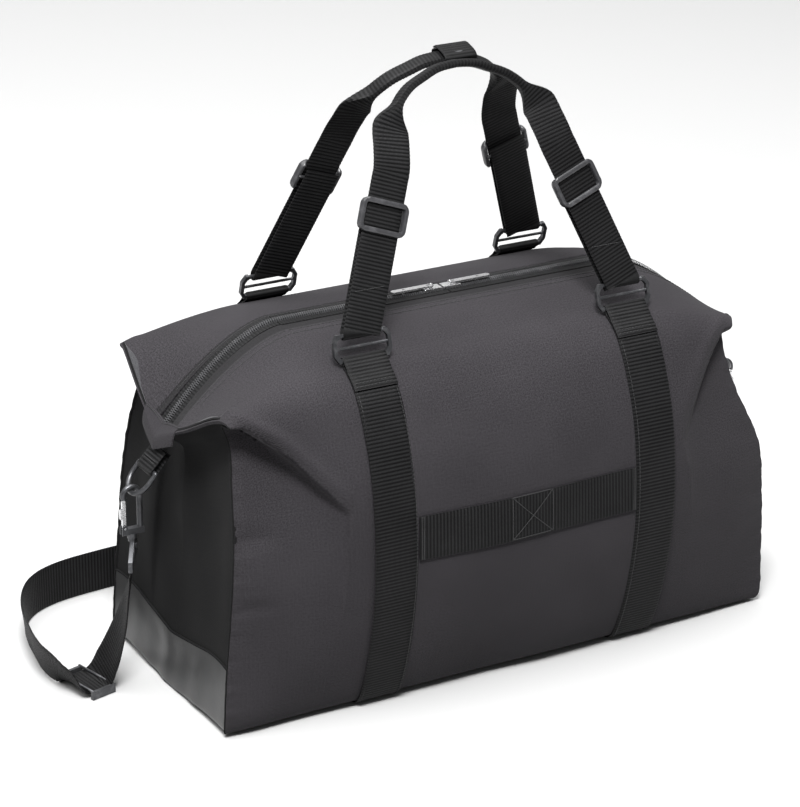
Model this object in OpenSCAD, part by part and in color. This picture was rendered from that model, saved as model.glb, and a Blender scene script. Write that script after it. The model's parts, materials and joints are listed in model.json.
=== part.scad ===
// Weekender bag: a soft travel bag with a lengthwise zipped mouth, two webbing
// handles and a clip-on shoulder strap. Millimetres, +Z up, front is -Y.
// The origin is under the middle of the bag, on the floor.

/* [Body] */
// Half length of the body at its base
half_length = 257; // [240:1:270]
// Half depth of the flat base
half_base = 105; // [98:1:112]
// How far the middle of each side bulges past the base
bulge = 36; // [24:1:42]
// Height of the zip along the middle of the mouth
zip_z = 301; // [297:1:304]
// Thickness of a padded cloth wall
wall = 3; // [2:0.1:3.4]

/* [Webbing] */
// Distance of each body strap from the middle of the bag
strap_x = 121; // [114:1:128]
// Width of the body straps and of the shoulder strap
strap_w = 38; // [34:1:39]
// Width of the handle webbing
handle_w = 32; // [28:1:33]
// Thickness of every webbing ply
ply = 1.5; // [1.1:0.1:1.8]

/* [Handles] */
// Lean of each standing handle towards the middle, in degrees
lean = 16.5; // [15:0.5:18]
// Height of a handle above its ring bar, along the lean
handle_h = 195; // [185:1:210]
// How far the top of each handle curves in over the zip
grip_in = 12; // [0:1:14]
// Position of the four sliding buckles along the handle legs
buckle_s = 86; // [78:1:94]

/* [Metal] */
// Radius of the bars of the handle rings
bar_r = 1.8; // [1.6:0.1:2]
// Radius of the wire of the D-rings
wire_r = 2; // [1.8:0.1:2.2]
// Gap between a turning part and what holds it
play = 0.15; // [0.1:0.05:0.2]

/* [Hidden] */
$fn = 32;

fabric = [0.22, 0.21, 0.23];
coated = [0.3, 0.3, 0.31];
dark = [0.13, 0.13, 0.14];
web = [0.15, 0.15, 0.16];
satin = [0.42, 0.42, 0.44];
steel = [0.7, 0.71, 0.73];
board = [0.1, 0.1, 0.1];

// Profile of one side at mid-length and at the ends, from the base to the zip,
// as [half depth, height]. The eleven points stand at equal steps of v.
mid_line = [
    [half_base - 9, 2], [half_base + 6, 11], [half_base + bulge * 0.62, 50],
    [half_base + bulge * 0.95, 105], [half_base + bulge, 155],
    [half_base + bulge * 0.8, 210], [half_base + 9, 256],
    [half_base - 13, 280], [half_base - 35, zip_z - 12],
    [half_base - 70, zip_z - 3], [0.2, zip_z]
];
end_line = [
    [half_base - 9, 2], [half_base, 9], [half_base + 1, 50],
    [half_base + 1, 105], [half_base + 1, 155], [half_base, 200],
    [half_base - 1, 238], [half_base - 5, 262], [half_base - 24, 262],
    [half_base - 65, 240], [0.2, 222]
];
// How far each end stands in from the half length at those points
left_in = [7, 0, 2, 7, 11, 15, 19, 11, 6, 0, -5];
right_in = [7, -1, 1, 5, 11, 30, 39, 31, 18, 0, -7];

// v of the fold where a mouth flap bends, and of the flap's zipped edge
fold_v = 0.8;
edge_v = 0.966;
flap_x = 156;

function lerp(a, b, t) = a + (b - a) * t;
function clamp01(t) = max(0, min(1, t));
function smooth(t) = let (c = clamp01(t)) c * c * (3 - 2 * c);
function unit(p) = p / norm(p);

// Smooth curve through a list at t from 0 to 1
function along(list, t) = let (
    n = len(list) - 1,
    s = clamp01(t) * n,
    i = min(floor(s), n - 1),
    f = s - i,
    p0 = list[max(i - 1, 0)],
    p1 = list[i],
    p2 = list[i + 1],
    p3 = list[min(i + 2, n)]
) p1 + (p2 - p0) * f / 2
    + (2 * p0 - 5 * p1 + 4 * p2 - p3) * f * f / 2
    + (3 * p1 - p0 - 3 * p2 + p3) * f * f * f / 2;

function end_x(u, v) = half_length - along(u < 0 ? left_in : right_in, v);

// Depth of the tuck that folds in under each top corner
function tuck(from_end, z) = let (
    t = clamp01((from_end - 8) / 74),
    below = (262 - 77 * t - z) * 0.69
) from_end > 84 || below < 0 ? 0
    : 14 * smooth(below / 8) * exp(-pow(below / 48, 2)) * pow(1 - t, 0.8);

// Outer surface of the front half: u runs from end to end, v from base to zip
function front_at(u, v) = let (
    a = abs(u),
    drop = pow(clamp01((a - 0.6) / 0.4), 1.6),
    swell = lerp(a * a * a, drop, smooth((v - 0.6) / 0.2)),
    m = along(mid_line, v),
    e = along(end_line, v),
    x = end_x(u, v) * u,
    z = lerp(m[1], e[1], lerp(a * a * a, drop, smooth((v - 0.5) / 0.2))),
    y = lerp(m[0], e[0], swell) - (v < 0.75 ? tuck((1 - a) * end_x(u, v), z) : 0)
) [x, -y, z];

// The same point moved out along the surface normal
function front_off(u, v, out) = let (
    d = 0.004,
    along_u = front_at(min(u + d, 1), v) - front_at(max(u - d, -1), v),
    along_v = front_at(u, min(v + d, 1)) - front_at(u, max(v - d, 0))
) front_at(u, v) + out * unit(cross(along_u, along_v));

function flat(rows) = [for (row = rows) for (p = row) p];

// Closed shell between two grids of points, the first one outside
module shell(outer, inner) {
    rows = len(outer);
    cols = len(outer[0]);
    n = rows * cols;
    quads = concat(
        [for (r = [0:rows - 2]) for (c = [0:cols - 2])
            [r * cols + c, (r + 1) * cols + c, (r + 1) * cols + c + 1, r * cols + c + 1]],
        [for (r = [0:rows - 2]) for (c = [0:cols - 2])
            [n + r * cols + c, n + r * cols + c + 1,
             n + (r + 1) * cols + c + 1, n + (r + 1) * cols + c]],
        [for (c = [0:cols - 2]) [c, c + 1, n + c + 1, n + c]],
        [for (c = [0:cols - 2]) let (k = (rows - 1) * cols)
            [k + c + 1, k + c, n + k + c, n + k + c + 1]],
        [for (r = [0:rows - 2]) [(r + 1) * cols, r * cols, n + r * cols, n + (r + 1) * cols]],
        [for (r = [0:rows - 2]) let (k = cols - 1)
            [r * cols + k, (r + 1) * cols + k, n + (r + 1) * cols + k, n + r * cols + k]]
    );
    triangles = [for (q = quads) for (t = [[q[0], q[1], q[2]], [q[0], q[2], q[3]]]) t];
    polyhedron(concat(flat(outer), flat(inner)), triangles, convexity = 8);
}

function spread(from, to, steps) = [for (i = [0:steps]) lerp(from, to, i / steps)];

// A patch of the front surface between two offsets, u and v as lists
module front_patch(us, vs, out, inn) {
    shell(
        [for (v = vs) [for (u = us) front_off(u, v, out)]],
        [for (v = vs) [for (u = us) front_off(u, v, inn)]]
    );
}

// u of a given x on the front surface
function u_at(x, v) = x / end_x(x, v);

// The same patch, bounded by x instead of u
module front_strip(xs, vs, out, inn) {
    shell(
        [for (v = vs) [for (x = xs) front_off(u_at(x, v), v, out)]],
        [for (v = vs) [for (x = xs) front_off(u_at(x, v), v, inn)]]
    );
}

module rear() {
    mirror([0, 1, 0]) children();
}

// A ribbon of rectangular section along a path. sides[i] is the width direction.
module ribbon(path, sides, half_w, half_t) {
    n = len(path);
    tangents = [for (i = [0:n - 1]) unit(path[min(i + 1, n - 1)] - path[max(i - 1, 0)])];
    rings = [for (i = [0:n - 1]) let (
        w = sides[i] * half_w[i],
        t = unit(cross(tangents[i], sides[i])) * half_t[i]
    ) each [path[i] + w + t, path[i] - w + t, path[i] - w - t, path[i] + w - t]];
    quads = concat(
        [[0, 1, 2, 3], [for (k = [3:-1:0]) (n - 1) * 4 + k]],
        [for (i = [0:n - 2]) for (k = [0:3])
            [i * 4 + k, (i + 1) * 4 + k, (i + 1) * 4 + (k + 1) % 4, i * 4 + (k + 1) % 4]]
    );
    triangles = [for (q = quads) for (t = [[q[0], q[1], q[2]], [q[0], q[2], q[3]]]) t];
    polyhedron(rings, triangles, convexity = 6);
}

// ---------------------------------------------------------------- cloth body

function row_steps(from, to, gap) = spread(from, to, ceil((to - from) / gap));

module front_panel() {
    color(fabric) front_patch(row_steps(-1, 1, 0.055), row_steps(0, fold_v - 0.006, 0.045), 0, -wall);
}

module rear_panel() {
    color(fabric) rear() front_patch(row_steps(-1, 1, 0.055), row_steps(0, fold_v - 0.006, 0.045), 0, -wall);
}

module mouth_flap() {
    front_strip(spread(-flap_x, flap_x, 12), spread(fold_v + 0.009, edge_v, 4), 0, -wall + 0.5);
}

module front_mouth_flap() {
    color(fabric) mouth_flap();
}

module rear_mouth_flap() {
    color(fabric) rear() mouth_flap();
}

// Half of the top beyond the flaps: side -1 is the left end, 1 the right end
module top_end_half(side) {
    outer = [for (v = row_steps(fold_v + 0.001, edge_v, 0.028))
        [for (k = spread(0, 1, 8)) let (
            from = side * (flap_x + 0.4) / end_x(side, v),
            u = side < 0 ? lerp(-1, from, k) : lerp(from, 1, k)
        ) [u, v]]];
    shell(
        [for (row = outer) [for (p = row) front_off(p[0], p[1], 0)]],
        [for (row = outer) [for (p = row) front_off(p[0], p[1], -wall + 0.5)]]
    );
}

module left_top_end() {
    color(fabric) top_end_half(-1);
    color(fabric) rear() top_end_half(-1);
}

module right_top_end() {
    color(fabric) top_end_half(1);
    color(fabric) rear() top_end_half(1);
}

// Gusset surface at an end: s runs from the front seam to the rear, t upward
inset = wall + 1.3;
wing_v = 0.7;

function seam_at(side, t) = let (p = front_at(side, t * wing_v))
    [p[0] - side * 1.2, p[1] + inset, p[2] + 2];
function rim_at(side, s) = let (
    f = s < 0.5 ? s : 1 - s,
    p = front_at(side, wing_v + (1 - wing_v) * 2 * f),
    y = p[1] + inset * (1 - 2 * f)
) [p[0] - side * 2, s < 0.5 ? y : -y, p[2] - inset];
function back_of(p) = [p[0], -p[1], p[2]];

function gusset_at(side, s, t) = let (
    f = seam_at(side, t),
    r = back_of(f),
    b = lerp(seam_at(side, 0), back_of(seam_at(side, 0)), s),
    top = rim_at(side, s),
    corner = lerp(lerp(seam_at(side, 0), back_of(seam_at(side, 0)), s),
        lerp(rim_at(side, 0), rim_at(side, 1), s), t),
    p = lerp(f, r, s) + lerp(b, top, t) - corner,
    hollow = 15 * sin(180 * s) * smooth(t / 0.7) * (1 - smooth((t - 0.86) / 0.14))
) [p[0] - side * hollow, p[1], p[2]];

function gusset_off(side, s, t, out) = let (
    d = 0.01,
    along_s = gusset_at(side, min(s + d, 1), t) - gusset_at(side, max(s - d, 0), t),
    along_t = gusset_at(side, s, min(t + d, 1)) - gusset_at(side, s, max(t - d, 0))
) gusset_at(side, s, t) - side * out * unit(cross(along_t, along_s));

// Part of a gusset between two heights
module gusset_part(side, t0, t1, steps) {
    ss = side < 0 ? spread(1, 0, 16) : spread(0, 1, 16);
    ts = spread(t0, t1, steps);
    shell(
        [for (t = ts) [for (s = ss) gusset_off(side, s, t, 0)]],
        [for (t = ts) [for (s = ss) gusset_off(side, s, t, -2)]]
    );
}

band_t = 0.31;

module left_gusset() {
    color(dark) gusset_part(-1, band_t + 0.006, 1, 14);
}

module right_gusset() {
    color(dark) gusset_part(1, band_t + 0.006, 1, 14);
}

module left_end_band() {
    color(coated) gusset_part(-1, 0, band_t, 5);
}

module right_end_band() {
    color(coated) gusset_part(1, 0, band_t, 5);
}

under = ply + 0.3;
bottom_t = 2.5;

module bottom_panel() {
    color(fabric) translate([0, 0, under + bottom_t / 2])
        cube([2 * half_length - 32, 2 * half_base - 26, bottom_t], center = true);
}

module base_board() {
    color(board) translate([0, 0, under + bottom_t + 1.5])
        cube([2 * half_length - 44, 2 * half_base - 40, 2.4], center = true);
}

// ---------------------------------------------------------- webbing on the body

lift = 0.3;
ring_y = half_base - 22.4;
ring_z = zip_z - 10.2;
strap_top_v = 0.772;

module body_strap(side) {
    xs = spread(side * strap_x - strap_w / 2, side * strap_x + strap_w / 2, 2);
    vs = row_steps(0.004, strap_top_v, 0.04);
    front_strip(xs, vs, lift + ply, lift);
    rear() front_strip(xs, vs, lift + ply, lift);
    translate([side * strap_x, 0, ply / 2])
        cube([strap_w, 2 * half_base - 17, ply], center = true);
}

module left_body_strap() {
    color(web) body_strap(-1);
}

module right_body_strap() {
    color(web) body_strap(1);
}

// Lower and upper edge of the cross webbing, as v on the front
cross_v = [0.358, 0.438];

module front_cross_webbing() {
    reach = strap_x - strap_w / 2 - 0.5;
    color(web) front_strip(spread(-reach, reach, 8), spread(cross_v[0], cross_v[1], 3), lift + ply, lift);
}

loop_r = bar_r + play + ply;

// Webbing folded round a bar along X: closed above, with two tails below
module folded_loop(width, tail) {
    difference() {
        rotate([0, 90, 0]) cylinder(r = loop_r, h = width, center = true);
        rotate([0, 90, 0]) cylinder(r = bar_r + play, h = width + 2, center = true);
        translate([0, 0, -loop_r]) cube([width + 2, 3 * loop_r, 2 * loop_r], center = true);
    }
    for (y = [-1, 1])
        translate([0, y * (loop_r - ply / 2), -tail / 2])
            cube([width, ply, tail], center = true);
}

module strap_loops() {
    color(web)
        for (x = [-strap_x, strap_x]) {
            translate([x, -ring_y, ring_z]) rotate([-68, 0, 0]) folded_loop(strap_w - 1, 6);
            rear() translate([x, -ring_y, ring_z]) rotate([-68, 0, 0]) folded_loop(strap_w - 1, 6);
        }
}

// ----------------------------------------------------------------- handles

ring_h = 19;
ring_t = 3.6;

// Three-bar ring: lower bar on the origin, standing up, bars along X
module handle_ring() {
    inner_x = strap_w / 2 + 0.3;
    for (z = [0, ring_h])
        translate([0, 0, z]) rotate([0, 90, 0]) cylinder(r = bar_r, h = 2 * inner_x + 2, center = true);
    translate([0, 0, ring_h / 2]) rotate([0, 90, 0]) cylinder(r = 1.2, h = 2 * inner_x + 8, center = true);
    for (side = [0, 1])
        mirror([side, 0, 0]) translate([0, ring_t / 2, 0]) rotate([90, 0, 0])
            linear_extrude(height = ring_t)
                polygon([
                    [inner_x, -bar_r], [inner_x + 2.6, -bar_r], [inner_x + 6.2, 4],
                    [inner_x + 6.2, ring_h - 4], [inner_x + 2.6, ring_h + bar_r],
                    [inner_x, ring_h + bar_r], [inner_x, ring_h - bar_r],
                    [inner_x + 1, ring_h - bar_r], [inner_x + 3.2, ring_h - 5],
                    [inner_x + 3.2, 5], [inner_x + 1, bar_r], [inner_x, bar_r]
                ]);
}

// Places a child so that its origin is a front ring pivot and +Z is the lean
module at_front_ring(x = 0, up = 0) {
    translate([x, -ring_y, ring_z]) rotate([-lean, 0, 0]) translate([0, 0, up]) children();
}

module front_rings() {
    color(satin) for (x = [-strap_x, strap_x]) at_front_ring(x) handle_ring();
}

module rear_rings() {
    color(satin) rear() for (x = [-strap_x, strap_x]) at_front_ring(x) handle_ring();
}

leg_slope = 0.372;
leg_angle = atan(leg_slope);
leg_top = 117;
ply_y = loop_r - ply / 2;

// Centre line of the left half of a handle as [distance from the middle, height]
half_line = [
    for (z = [0, 28, 56, 84, 112, 122]) [strap_x - leg_slope * z, z],
    [strap_x - 49.5, 139], [strap_x - 53.5, 154], [strap_x - 63, 169],
    [strap_x - 76, handle_h - 14], [strap_x - 92, handle_h - 6.5],
    [strap_x - 105, handle_h - 1.7], [0, handle_h]
];

function handle_point(k) = let (
    p = along(half_line, k <= 1 ? k : 2 - k),
    flat_y = -ply_y * (1 - smooth((p[1] - 120) / 45)),
    y = flat_y + grip_in * smooth((p[1] - leg_top) / (handle_h - leg_top))
) [k <= 1 ? -p[0] : p[0], y, max(p[1], 0.3)];

// 1 on the flat legs, 0 in the folded grip
function flatness(z) = 1 - smooth((z - 152) / 20);

module handle_webbing() {
    ks = [for (i = [0:44]) i / 22];
    path = [for (k = ks) handle_point(k)];
    last = len(path) - 1;
    sides = [for (i = [0:last]) let (
        t = path[min(i + 1, last)] - path[max(i - 1, 0)],
        square = unit([t[2], 0, -t[0]]),
        level = [i < last / 2 ? 1 : -1, 0, 0]
    ) unit(lerp(level, square, smooth(path[i][2] / 30)))];
    widths = [for (p = path) lerp(3.3, handle_w / 2, flatness(p[2]))];
    depths = [for (p = path) lerp(7.5, ply / 2, flatness(p[2]))];
    ribbon(path, sides, widths, depths);
    for (side = [-1, 1]) {
        zs = spread(0.3, buckle_s + 8, 8);
        ribbon(
            [for (z = zs) [side * (strap_x - leg_slope * z), ply_y, z]],
            [for (z = zs) unit(lerp([1, 0, 0], unit([1, 0, side * leg_slope]), smooth(z / 30)))],
            [for (z = zs) handle_w / 2], [for (z = zs) ply / 2]
        );
    }
}

module handle_loops() {
    for (x = [-strap_x, strap_x])
        translate([x, 0, 0]) rotate([180, 0, 0]) folded_loop(handle_w, 0.1);
}

module front_handle() {
    color(web) at_front_ring(0, ring_h) handle_webbing();
}

module rear_handle() {
    color(web) rear() at_front_ring(0, ring_h) handle_webbing();
}

module front_handle_loops() {
    color(web) at_front_ring(0, ring_h) handle_loops();
}

module rear_handle_loops() {
    color(web) rear() at_front_ring(0, ring_h) handle_loops();
}

buckle_w = 41;
buckle_h = 25;

// Sliding buckle: front bars, side rails, and a middle bar behind the front ply
module buckle() {
    rail = (buckle_w - handle_w) / 2 - 0.4;
    front_y = -ply_y - ply / 2 - 0.2;
    for (side = [-1, 1])
        translate([side * (buckle_w - rail) / 2, front_y + 1.5, 0])
            cube([rail, 6, buckle_h], center = true);
    for (z = [-1, 1])
        translate([0, front_y - 0.75, z * (buckle_h / 2 - 1.6)])
            cube([buckle_w - rail, 1.5, 3.2], center = true);
    rotate([0, 90, 0]) cylinder(r = 1.1, h = buckle_w - rail, center = true);
}

module at_buckle(side) {
    at_front_ring(side * (strap_x - leg_slope * buckle_s), ring_h + buckle_s)
        rotate([0, -side * leg_angle, 0]) children();
}

module front_left_buckle() {
    color(satin) at_buckle(-1) buckle();
}

module front_right_buckle() {
    color(satin) at_buckle(1) buckle();
}

module rear_left_buckle() {
    color(satin) rear() at_buckle(-1) buckle();
}

module rear_right_buckle() {
    color(satin) rear() at_buckle(1) buckle();
}

// Sleeve round the rear grip, open on top where its flap closes over
wrap_l = 32;
grip_gap = 0.5;
wrap_in_y = 7.5 + grip_gap;
wrap_in_z = 3.3 + grip_gap;
wrap_t = 1.6;
wrap_x = 12;
wrap_drop = 0.5;

module at_grip() {
    rear() at_front_ring(wrap_x, ring_h + handle_h - wrap_drop) translate([0, grip_in, 0]) children();
}

module grip_wrap() {
    color(web) at_grip() {
        translate([0, 0, -wrap_in_z - wrap_t / 2])
            cube([wrap_l, 2 * (wrap_in_y + wrap_t), wrap_t], center = true);
        for (y = [-1, 1])
            translate([0, y * (wrap_in_y + wrap_t / 2), -wrap_t / 2])
                cube([wrap_l, wrap_t, 2 * wrap_in_z + wrap_t], center = true);
    }
}

module wrap_flap() {
    color(web) at_grip() translate([0, 0, wrap_in_z + 0.3 + wrap_t / 2])
        cube([wrap_l - 4, 2 * (wrap_in_y + wrap_t) - 1, wrap_t], center = true);
}

module press_stud() {
    color(satin) at_grip() translate([0, 1, wrap_in_z + 0.3 + wrap_t]) {
        cylinder(r = 6.2, h = 1);
        translate([0, 0, 1]) difference() {
            cylinder(r = 5.4, h = 0.8);
            translate([0, 0, 0.2]) cylinder(r = 3.6, h = 2);
        }
    }
}

// ------------------------------------------------------------------- main zip

coil_y = 2.9;
coil_z = [zip_z - 1.4, zip_z + 0.8];
tape_y = 9.2;
zip_mid = -4;
slider_l = 16;
post_gap = 1.6;

module zip_half() {
    difference() {
        union() {
            translate([-flap_x + 0.4, -coil_y, coil_z[0]])
                cube([2 * flap_x - 0.8, coil_y - 0.15, coil_z[1] - coil_z[0]]);
            translate([-flap_x + 0.4, -tape_y, zip_z - 1.7])
                cube([2 * flap_x - 0.8, tape_y - coil_y + 0.5, 0.9]);
        }
        for (x = [zip_mid - 1 - 2.2, zip_mid + 1 + 2.2])
            translate([x - post_gap, -0.95, zip_z - 4]) cube([2 * post_gap, 2, 8]);
    }
}

module front_zip_half() {
    color(dark) zip_half();
}

module rear_zip_half() {
    color(dark) rear() zip_half();
}

// The closed zip beyond the flaps, bending down to the end of the bag
module zip_end(side) {
    us = [for (i = [0:9]) lerp((flap_x + 0.6) / (half_length + 5), 0.985, i / 9)];
    path = [for (u = us) let (p = front_at(side * u, 1)) [p[0], 0, p[2] - 1.3]];
    sides = [for (u = us) [0, 1, 0]];
    ribbon(path, sides, [for (u = us) tape_y - 0.6], [for (u = us) 0.45]);
    ribbon([for (p = path) p + [0, 0, 1]], sides, [for (u = us) coil_y], [for (u = us) 1.1]);
}

module left_zip_end() {
    color(dark) zip_end(-1);
}

module right_zip_end() {
    color(dark) zip_end(1);
}

lug_z = zip_z + 3.9;

// Slider over the coil, its post towards +X, pull lug at the far side
module slider() {
    top = coil_z[1] + 0.3;
    translate([-slider_l / 2, -4.3, top]) cube([slider_l, 8.6, 1.3]);
    for (y = [-4.3, 3.2])
        translate([-slider_l / 2, y, zip_z - 0.5]) cube([slider_l, 1.1, top - zip_z + 0.6]);
    translate([slider_l / 2 - 3.2, -0.6, zip_z - 3.3]) cube([2, 1.2, top - zip_z + 4]);
    translate([-slider_l / 2, -4.3, zip_z - 4.2]) cube([slider_l, 8.6, 1.2]);
    difference() {
        union() {
            translate([0, 0, lug_z]) rotate([90, 0, 0]) cylinder(r = 1.7, h = 1.8, center = true);
            translate([-1.7, -0.9, top + 1]) cube([3.4, 1.8, lug_z - top - 1]);
        }
        translate([0, 0, lug_z]) rotate([90, 0, 0]) cylinder(r = 0.85, h = 4, center = true);
    }
}

// Long flat pull, its pin on the origin, lying towards -X
module pull(length, width) {
    rotate([90, 0, 0]) cylinder(r = 0.85 - play / 2, h = width - 1, center = true);
    for (y = [-1, 1])
        translate([-2.5, y * (width / 2 - 0.7), 0]) cube([6.5, 1.4, 1.2], center = true);
    difference() {
        union() {
            translate([-length / 2 - 1.5, 0, 0]) cube([length - 6, width, 1.2], center = true);
            translate([1.5 - length, 0, 0]) cylinder(r = width / 2, h = 1.2, center = true);
        }
        translate([-length * 0.72, 0, 0]) cylinder(r = width * 0.2, h = 4, center = true);
    }
}

slider_x = slider_l / 2 + 1;

module left_zip_slider() {
    color(steel) translate([zip_mid - slider_x, 0, 0]) slider();
}

module right_zip_slider() {
    color(steel) translate([zip_mid + slider_x, 0, 0]) mirror([1, 0, 0]) slider();
}

module left_zip_pull() {
    color(steel) translate([zip_mid - slider_x, 0, lug_z]) pull(36, 5.4);
}

module right_zip_pull() {
    color(steel) translate([zip_mid + slider_x, 0, lug_z]) mirror([1, 0, 0]) pull(36, 5.4);
}

// --------------------------------------------------------------- end hardware

// Cloth tab folded over the end of the zip
module end_tab(side) {
    us = side < 0 ? spread(-1, -0.915, 3) : spread(0.915, 1, 3);
    for (flip = [0, 1])
        mirror([0, flip, 0])
            front_patch(us, spread(0.9, 1, 4), 1.7, 0.4);
}

module left_end_tab() {
    color(fabric) end_tab(-1);
}

module right_end_tab() {
    color(fabric) end_tab(1);
}

d_tilt = 40;
d_bar = [half_length + 13, 0, 196];
d_half = 15;
d_straight = 8;
tab_w = 25;
tab_l = 11;

// Places a child so that its origin is a D-ring bar and -Z hangs away from it
module at_d_bar(side) {
    translate([side * d_bar[0], 0, d_bar[2]]) rotate([0, -side * d_tilt, 0]) children();
}

module ring_tab(side) {
    at_d_bar(side) rotate([0, 0, 90]) rotate([180, 0, 0]) {
        difference() {
            rotate([0, 90, 0]) cylinder(r = wire_r + play + ply, h = tab_w, center = true);
            rotate([0, 90, 0]) cylinder(r = wire_r + play, h = tab_w + 2, center = true);
            translate([0, 0, -wire_r - 4]) cube([tab_w + 2, 20, 2 * wire_r + 8], center = true);
        }
        for (y = [-1, 1])
            translate([0, y * (wire_r + play + ply / 2), -tab_l / 2])
                cube([tab_w, ply, tab_l], center = true);
    }
}

module left_ring_tab() {
    color(web) ring_tab(-1);
}

module right_ring_tab() {
    color(web) ring_tab(1);
}

module d_ring() {
    rotate([90, 0, 0]) cylinder(r = wire_r, h = 2 * d_half, center = true);
    for (y = [-d_half, d_half]) {
        translate([0, y, -d_straight]) cylinder(r = wire_r, h = d_straight);
        translate([0, y, 0]) sphere(r = wire_r);
    }
    translate([0, 0, -d_straight]) rotate([0, 90, 0]) rotate([0, 0, -90])
        rotate_extrude(angle = 180) translate([d_half, 0]) circle(r = wire_r);
}

module left_d_ring() {
    color(satin) at_d_bar(-1) d_ring();
}

module right_d_ring() {
    color(satin) at_d_bar(1) d_ring();
}

hook_r = 7;
hook_wire = 2.2;
d_reach = d_straight + d_half;
hook_x = d_bar[0] + d_reach * sin(d_tilt);
hook_z = d_bar[2] - d_reach * cos(d_tilt) - (hook_r - hook_wire - wire_r) + 0.3;
gate_pin = [hook_r, -27];
knuckle_z = -37;

// Places a child at the middle of a hook's bend, mouth towards the outside
module at_hook(side) {
    translate([side * hook_x, 0, hook_z]) children();
}

// Snap hook in the XZ plane: bend, spine, foot that holds the gate, knuckle
module hook() {
    rotate([90, 0, 0]) rotate([0, 0, -20])
        rotate_extrude(angle = 200) translate([hook_r, 0]) circle(r = hook_wire);
    translate([-hook_r, 0, knuckle_z + 6]) cylinder(r = hook_wire + 0.2, h = -knuckle_z - 5);
    difference() {
        translate([0, 0, knuckle_z + 6.5]) cube([2 * hook_r + 5, 5.6, 5], center = true);
        translate([gate_pin[0], 0, gate_pin[1]]) cube([7, 3.2, 30], center = true);
    }
    for (y = [-2.2, 2.2])
        translate([gate_pin[0], y, gate_pin[1]]) difference() {
            union() {
                rotate([90, 0, 0]) cylinder(r = 2.3, h = 1.2, center = true);
                translate([-2.3, -0.6, -4]) cube([4.6, 1.2, 4]);
            }
            rotate([90, 0, 0]) cylinder(r = 0.9, h = 2, center = true);
        }
    translate([0, 0, knuckle_z]) cylinder(r = 4, h = 4.6);
}

// Gate lever: its pin on the origin, closing up against the hook's tip
module gate() {
    rotate([90, 0, 0]) cylinder(r = 0.9 - play / 2, h = 5.4, center = true);
    difference() {
        translate([-1.5, -1.3, -1.5]) cube([3, 2.6, 24.2]);
        translate([0, 0, 26]) rotate([90, 0, 0]) cylinder(r = 2.5, h = 6, center = true);
    }
    translate([1.2, -1.3, 8]) cube([2, 2.6, 8]);
}

eye_w = strap_w + 2;
eye_r = 1.7;
eye_gap = 0.2;
eye_drop = 21;

// Swivel eye under the knuckle, its lower bar holding the strap end
module eye() {
    half = eye_w / 2;
    translate([0, 0, knuckle_z - eye_gap - 2.4]) cylinder(r = 3.4, h = 2.4);
    translate([eye_r, 0, knuckle_z]) rotate([0, -90, 0]) linear_extrude(height = 2 * eye_r)
        difference() {
            polygon([
                [-2.4, 3], [-2.4, -3], [-eye_drop + 9, -half - 2], [-eye_drop, -half - 2],
                [-eye_drop, half + 2], [-eye_drop + 9, half + 2]
            ]);
            polygon([
                [-6, 3], [-6, -3], [-eye_drop + 8, -half + 1], [-eye_drop - 1, -half + 1],
                [-eye_drop - 1, half - 1], [-eye_drop + 8, half - 1]
            ]);
        }
    translate([0, 0, knuckle_z - eye_drop + 1.2]) rotate([90, 0, 0])
        cylinder(r = eye_r - 0.1, h = eye_w, center = true);
}

eye_turn = 30;

module left_hook() {
    color(satin) at_hook(-1) mirror([1, 0, 0]) hook();
}

module right_hook() {
    color(satin) at_hook(1) hook();
}

module left_hook_gate() {
    color(steel) at_hook(-1) mirror([1, 0, 0]) translate([gate_pin[0], 0, gate_pin[1]]) gate();
}

module right_hook_gate() {
    color(steel) at_hook(1) translate([gate_pin[0], 0, gate_pin[1]]) gate();
}

module left_eye() {
    color(satin) at_hook(-1) rotate([0, 0, -eye_turn]) eye();
}

module right_eye() {
    color(satin) at_hook(1) rotate([0, 0, eye_turn]) eye();
}

// ----------------------------------------------------------- right end pocket

pocket_s = 0.4;
pocket_t0 = 0.06;
pocket_t1 = 0.74;

// Half width of the pocket, as a share of the gusset, at height k from 0 to 1
function pocket_half(k) = pocket_s * (k < 0.55 ? 1 : sqrt(max(0, 1 - pow((k - 0.55) / 0.46, 2))));
function pocket_point(p, k, out) = gusset_off(1, 0.5 + p * pocket_half(k), lerp(pocket_t0, pocket_t1, k), out);
function dome(p, k) = 14 * (1 - p * p) * (1 - pow(2 * k - 1, 4));

// The pocket's cloth, turned flat where it would reach below its hem
pocket_hem = 0.6;
function pocket_skin(p, k, out) = let (q = pocket_point(p, k, out)) [q[0], q[1], max(q[2], pocket_hem)];

module right_pocket_panel() {
    ks = concat(spread(0.02, 0.55, 6), [0.64, 0.73, 0.81, 0.88, 0.94, 0.98]);
    ps = spread(-0.93, 0.93, 10);
    color(dark) shell(
        [for (k = ks) [for (p = ps) pocket_skin(p, k, 2.6 + dome(p, k))]],
        [for (k = ks) [for (p = ps) pocket_skin(p, k, 0.4 + dome(p, k) * 0.94)]]
    );
}

// Arch round the pocket, a = -1 low at the front, 1 low at the rear
function arch(a) = let (
    k = min(1.4 * (1 - abs(a)), 1)
) abs(a) > 0.5 ? pocket_point(sign(a), 0.98 * 0.55 * (1 - abs(a)) / 0.5, 2)
    : gusset_off(1, 0.5 + pocket_s * sin(180 * a),
        lerp(pocket_t0, pocket_t1, 0.539 + 0.46 * cos(180 * a)), 2);

module right_pocket_zip() {
    as = [for (i = [0:32]) lerp(-0.97, 0.97, i / 32)];
    path = [for (a = as) arch(a)];
    last = len(path) - 1;
    color(dark) ribbon(path,
        [for (i = [0:last]) unit(cross([1, 0, 0], path[min(i + 1, last)] - path[max(i - 1, 0)]))],
        [for (a = as) 2.4], [for (a = as) 1.1]);
}

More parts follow.
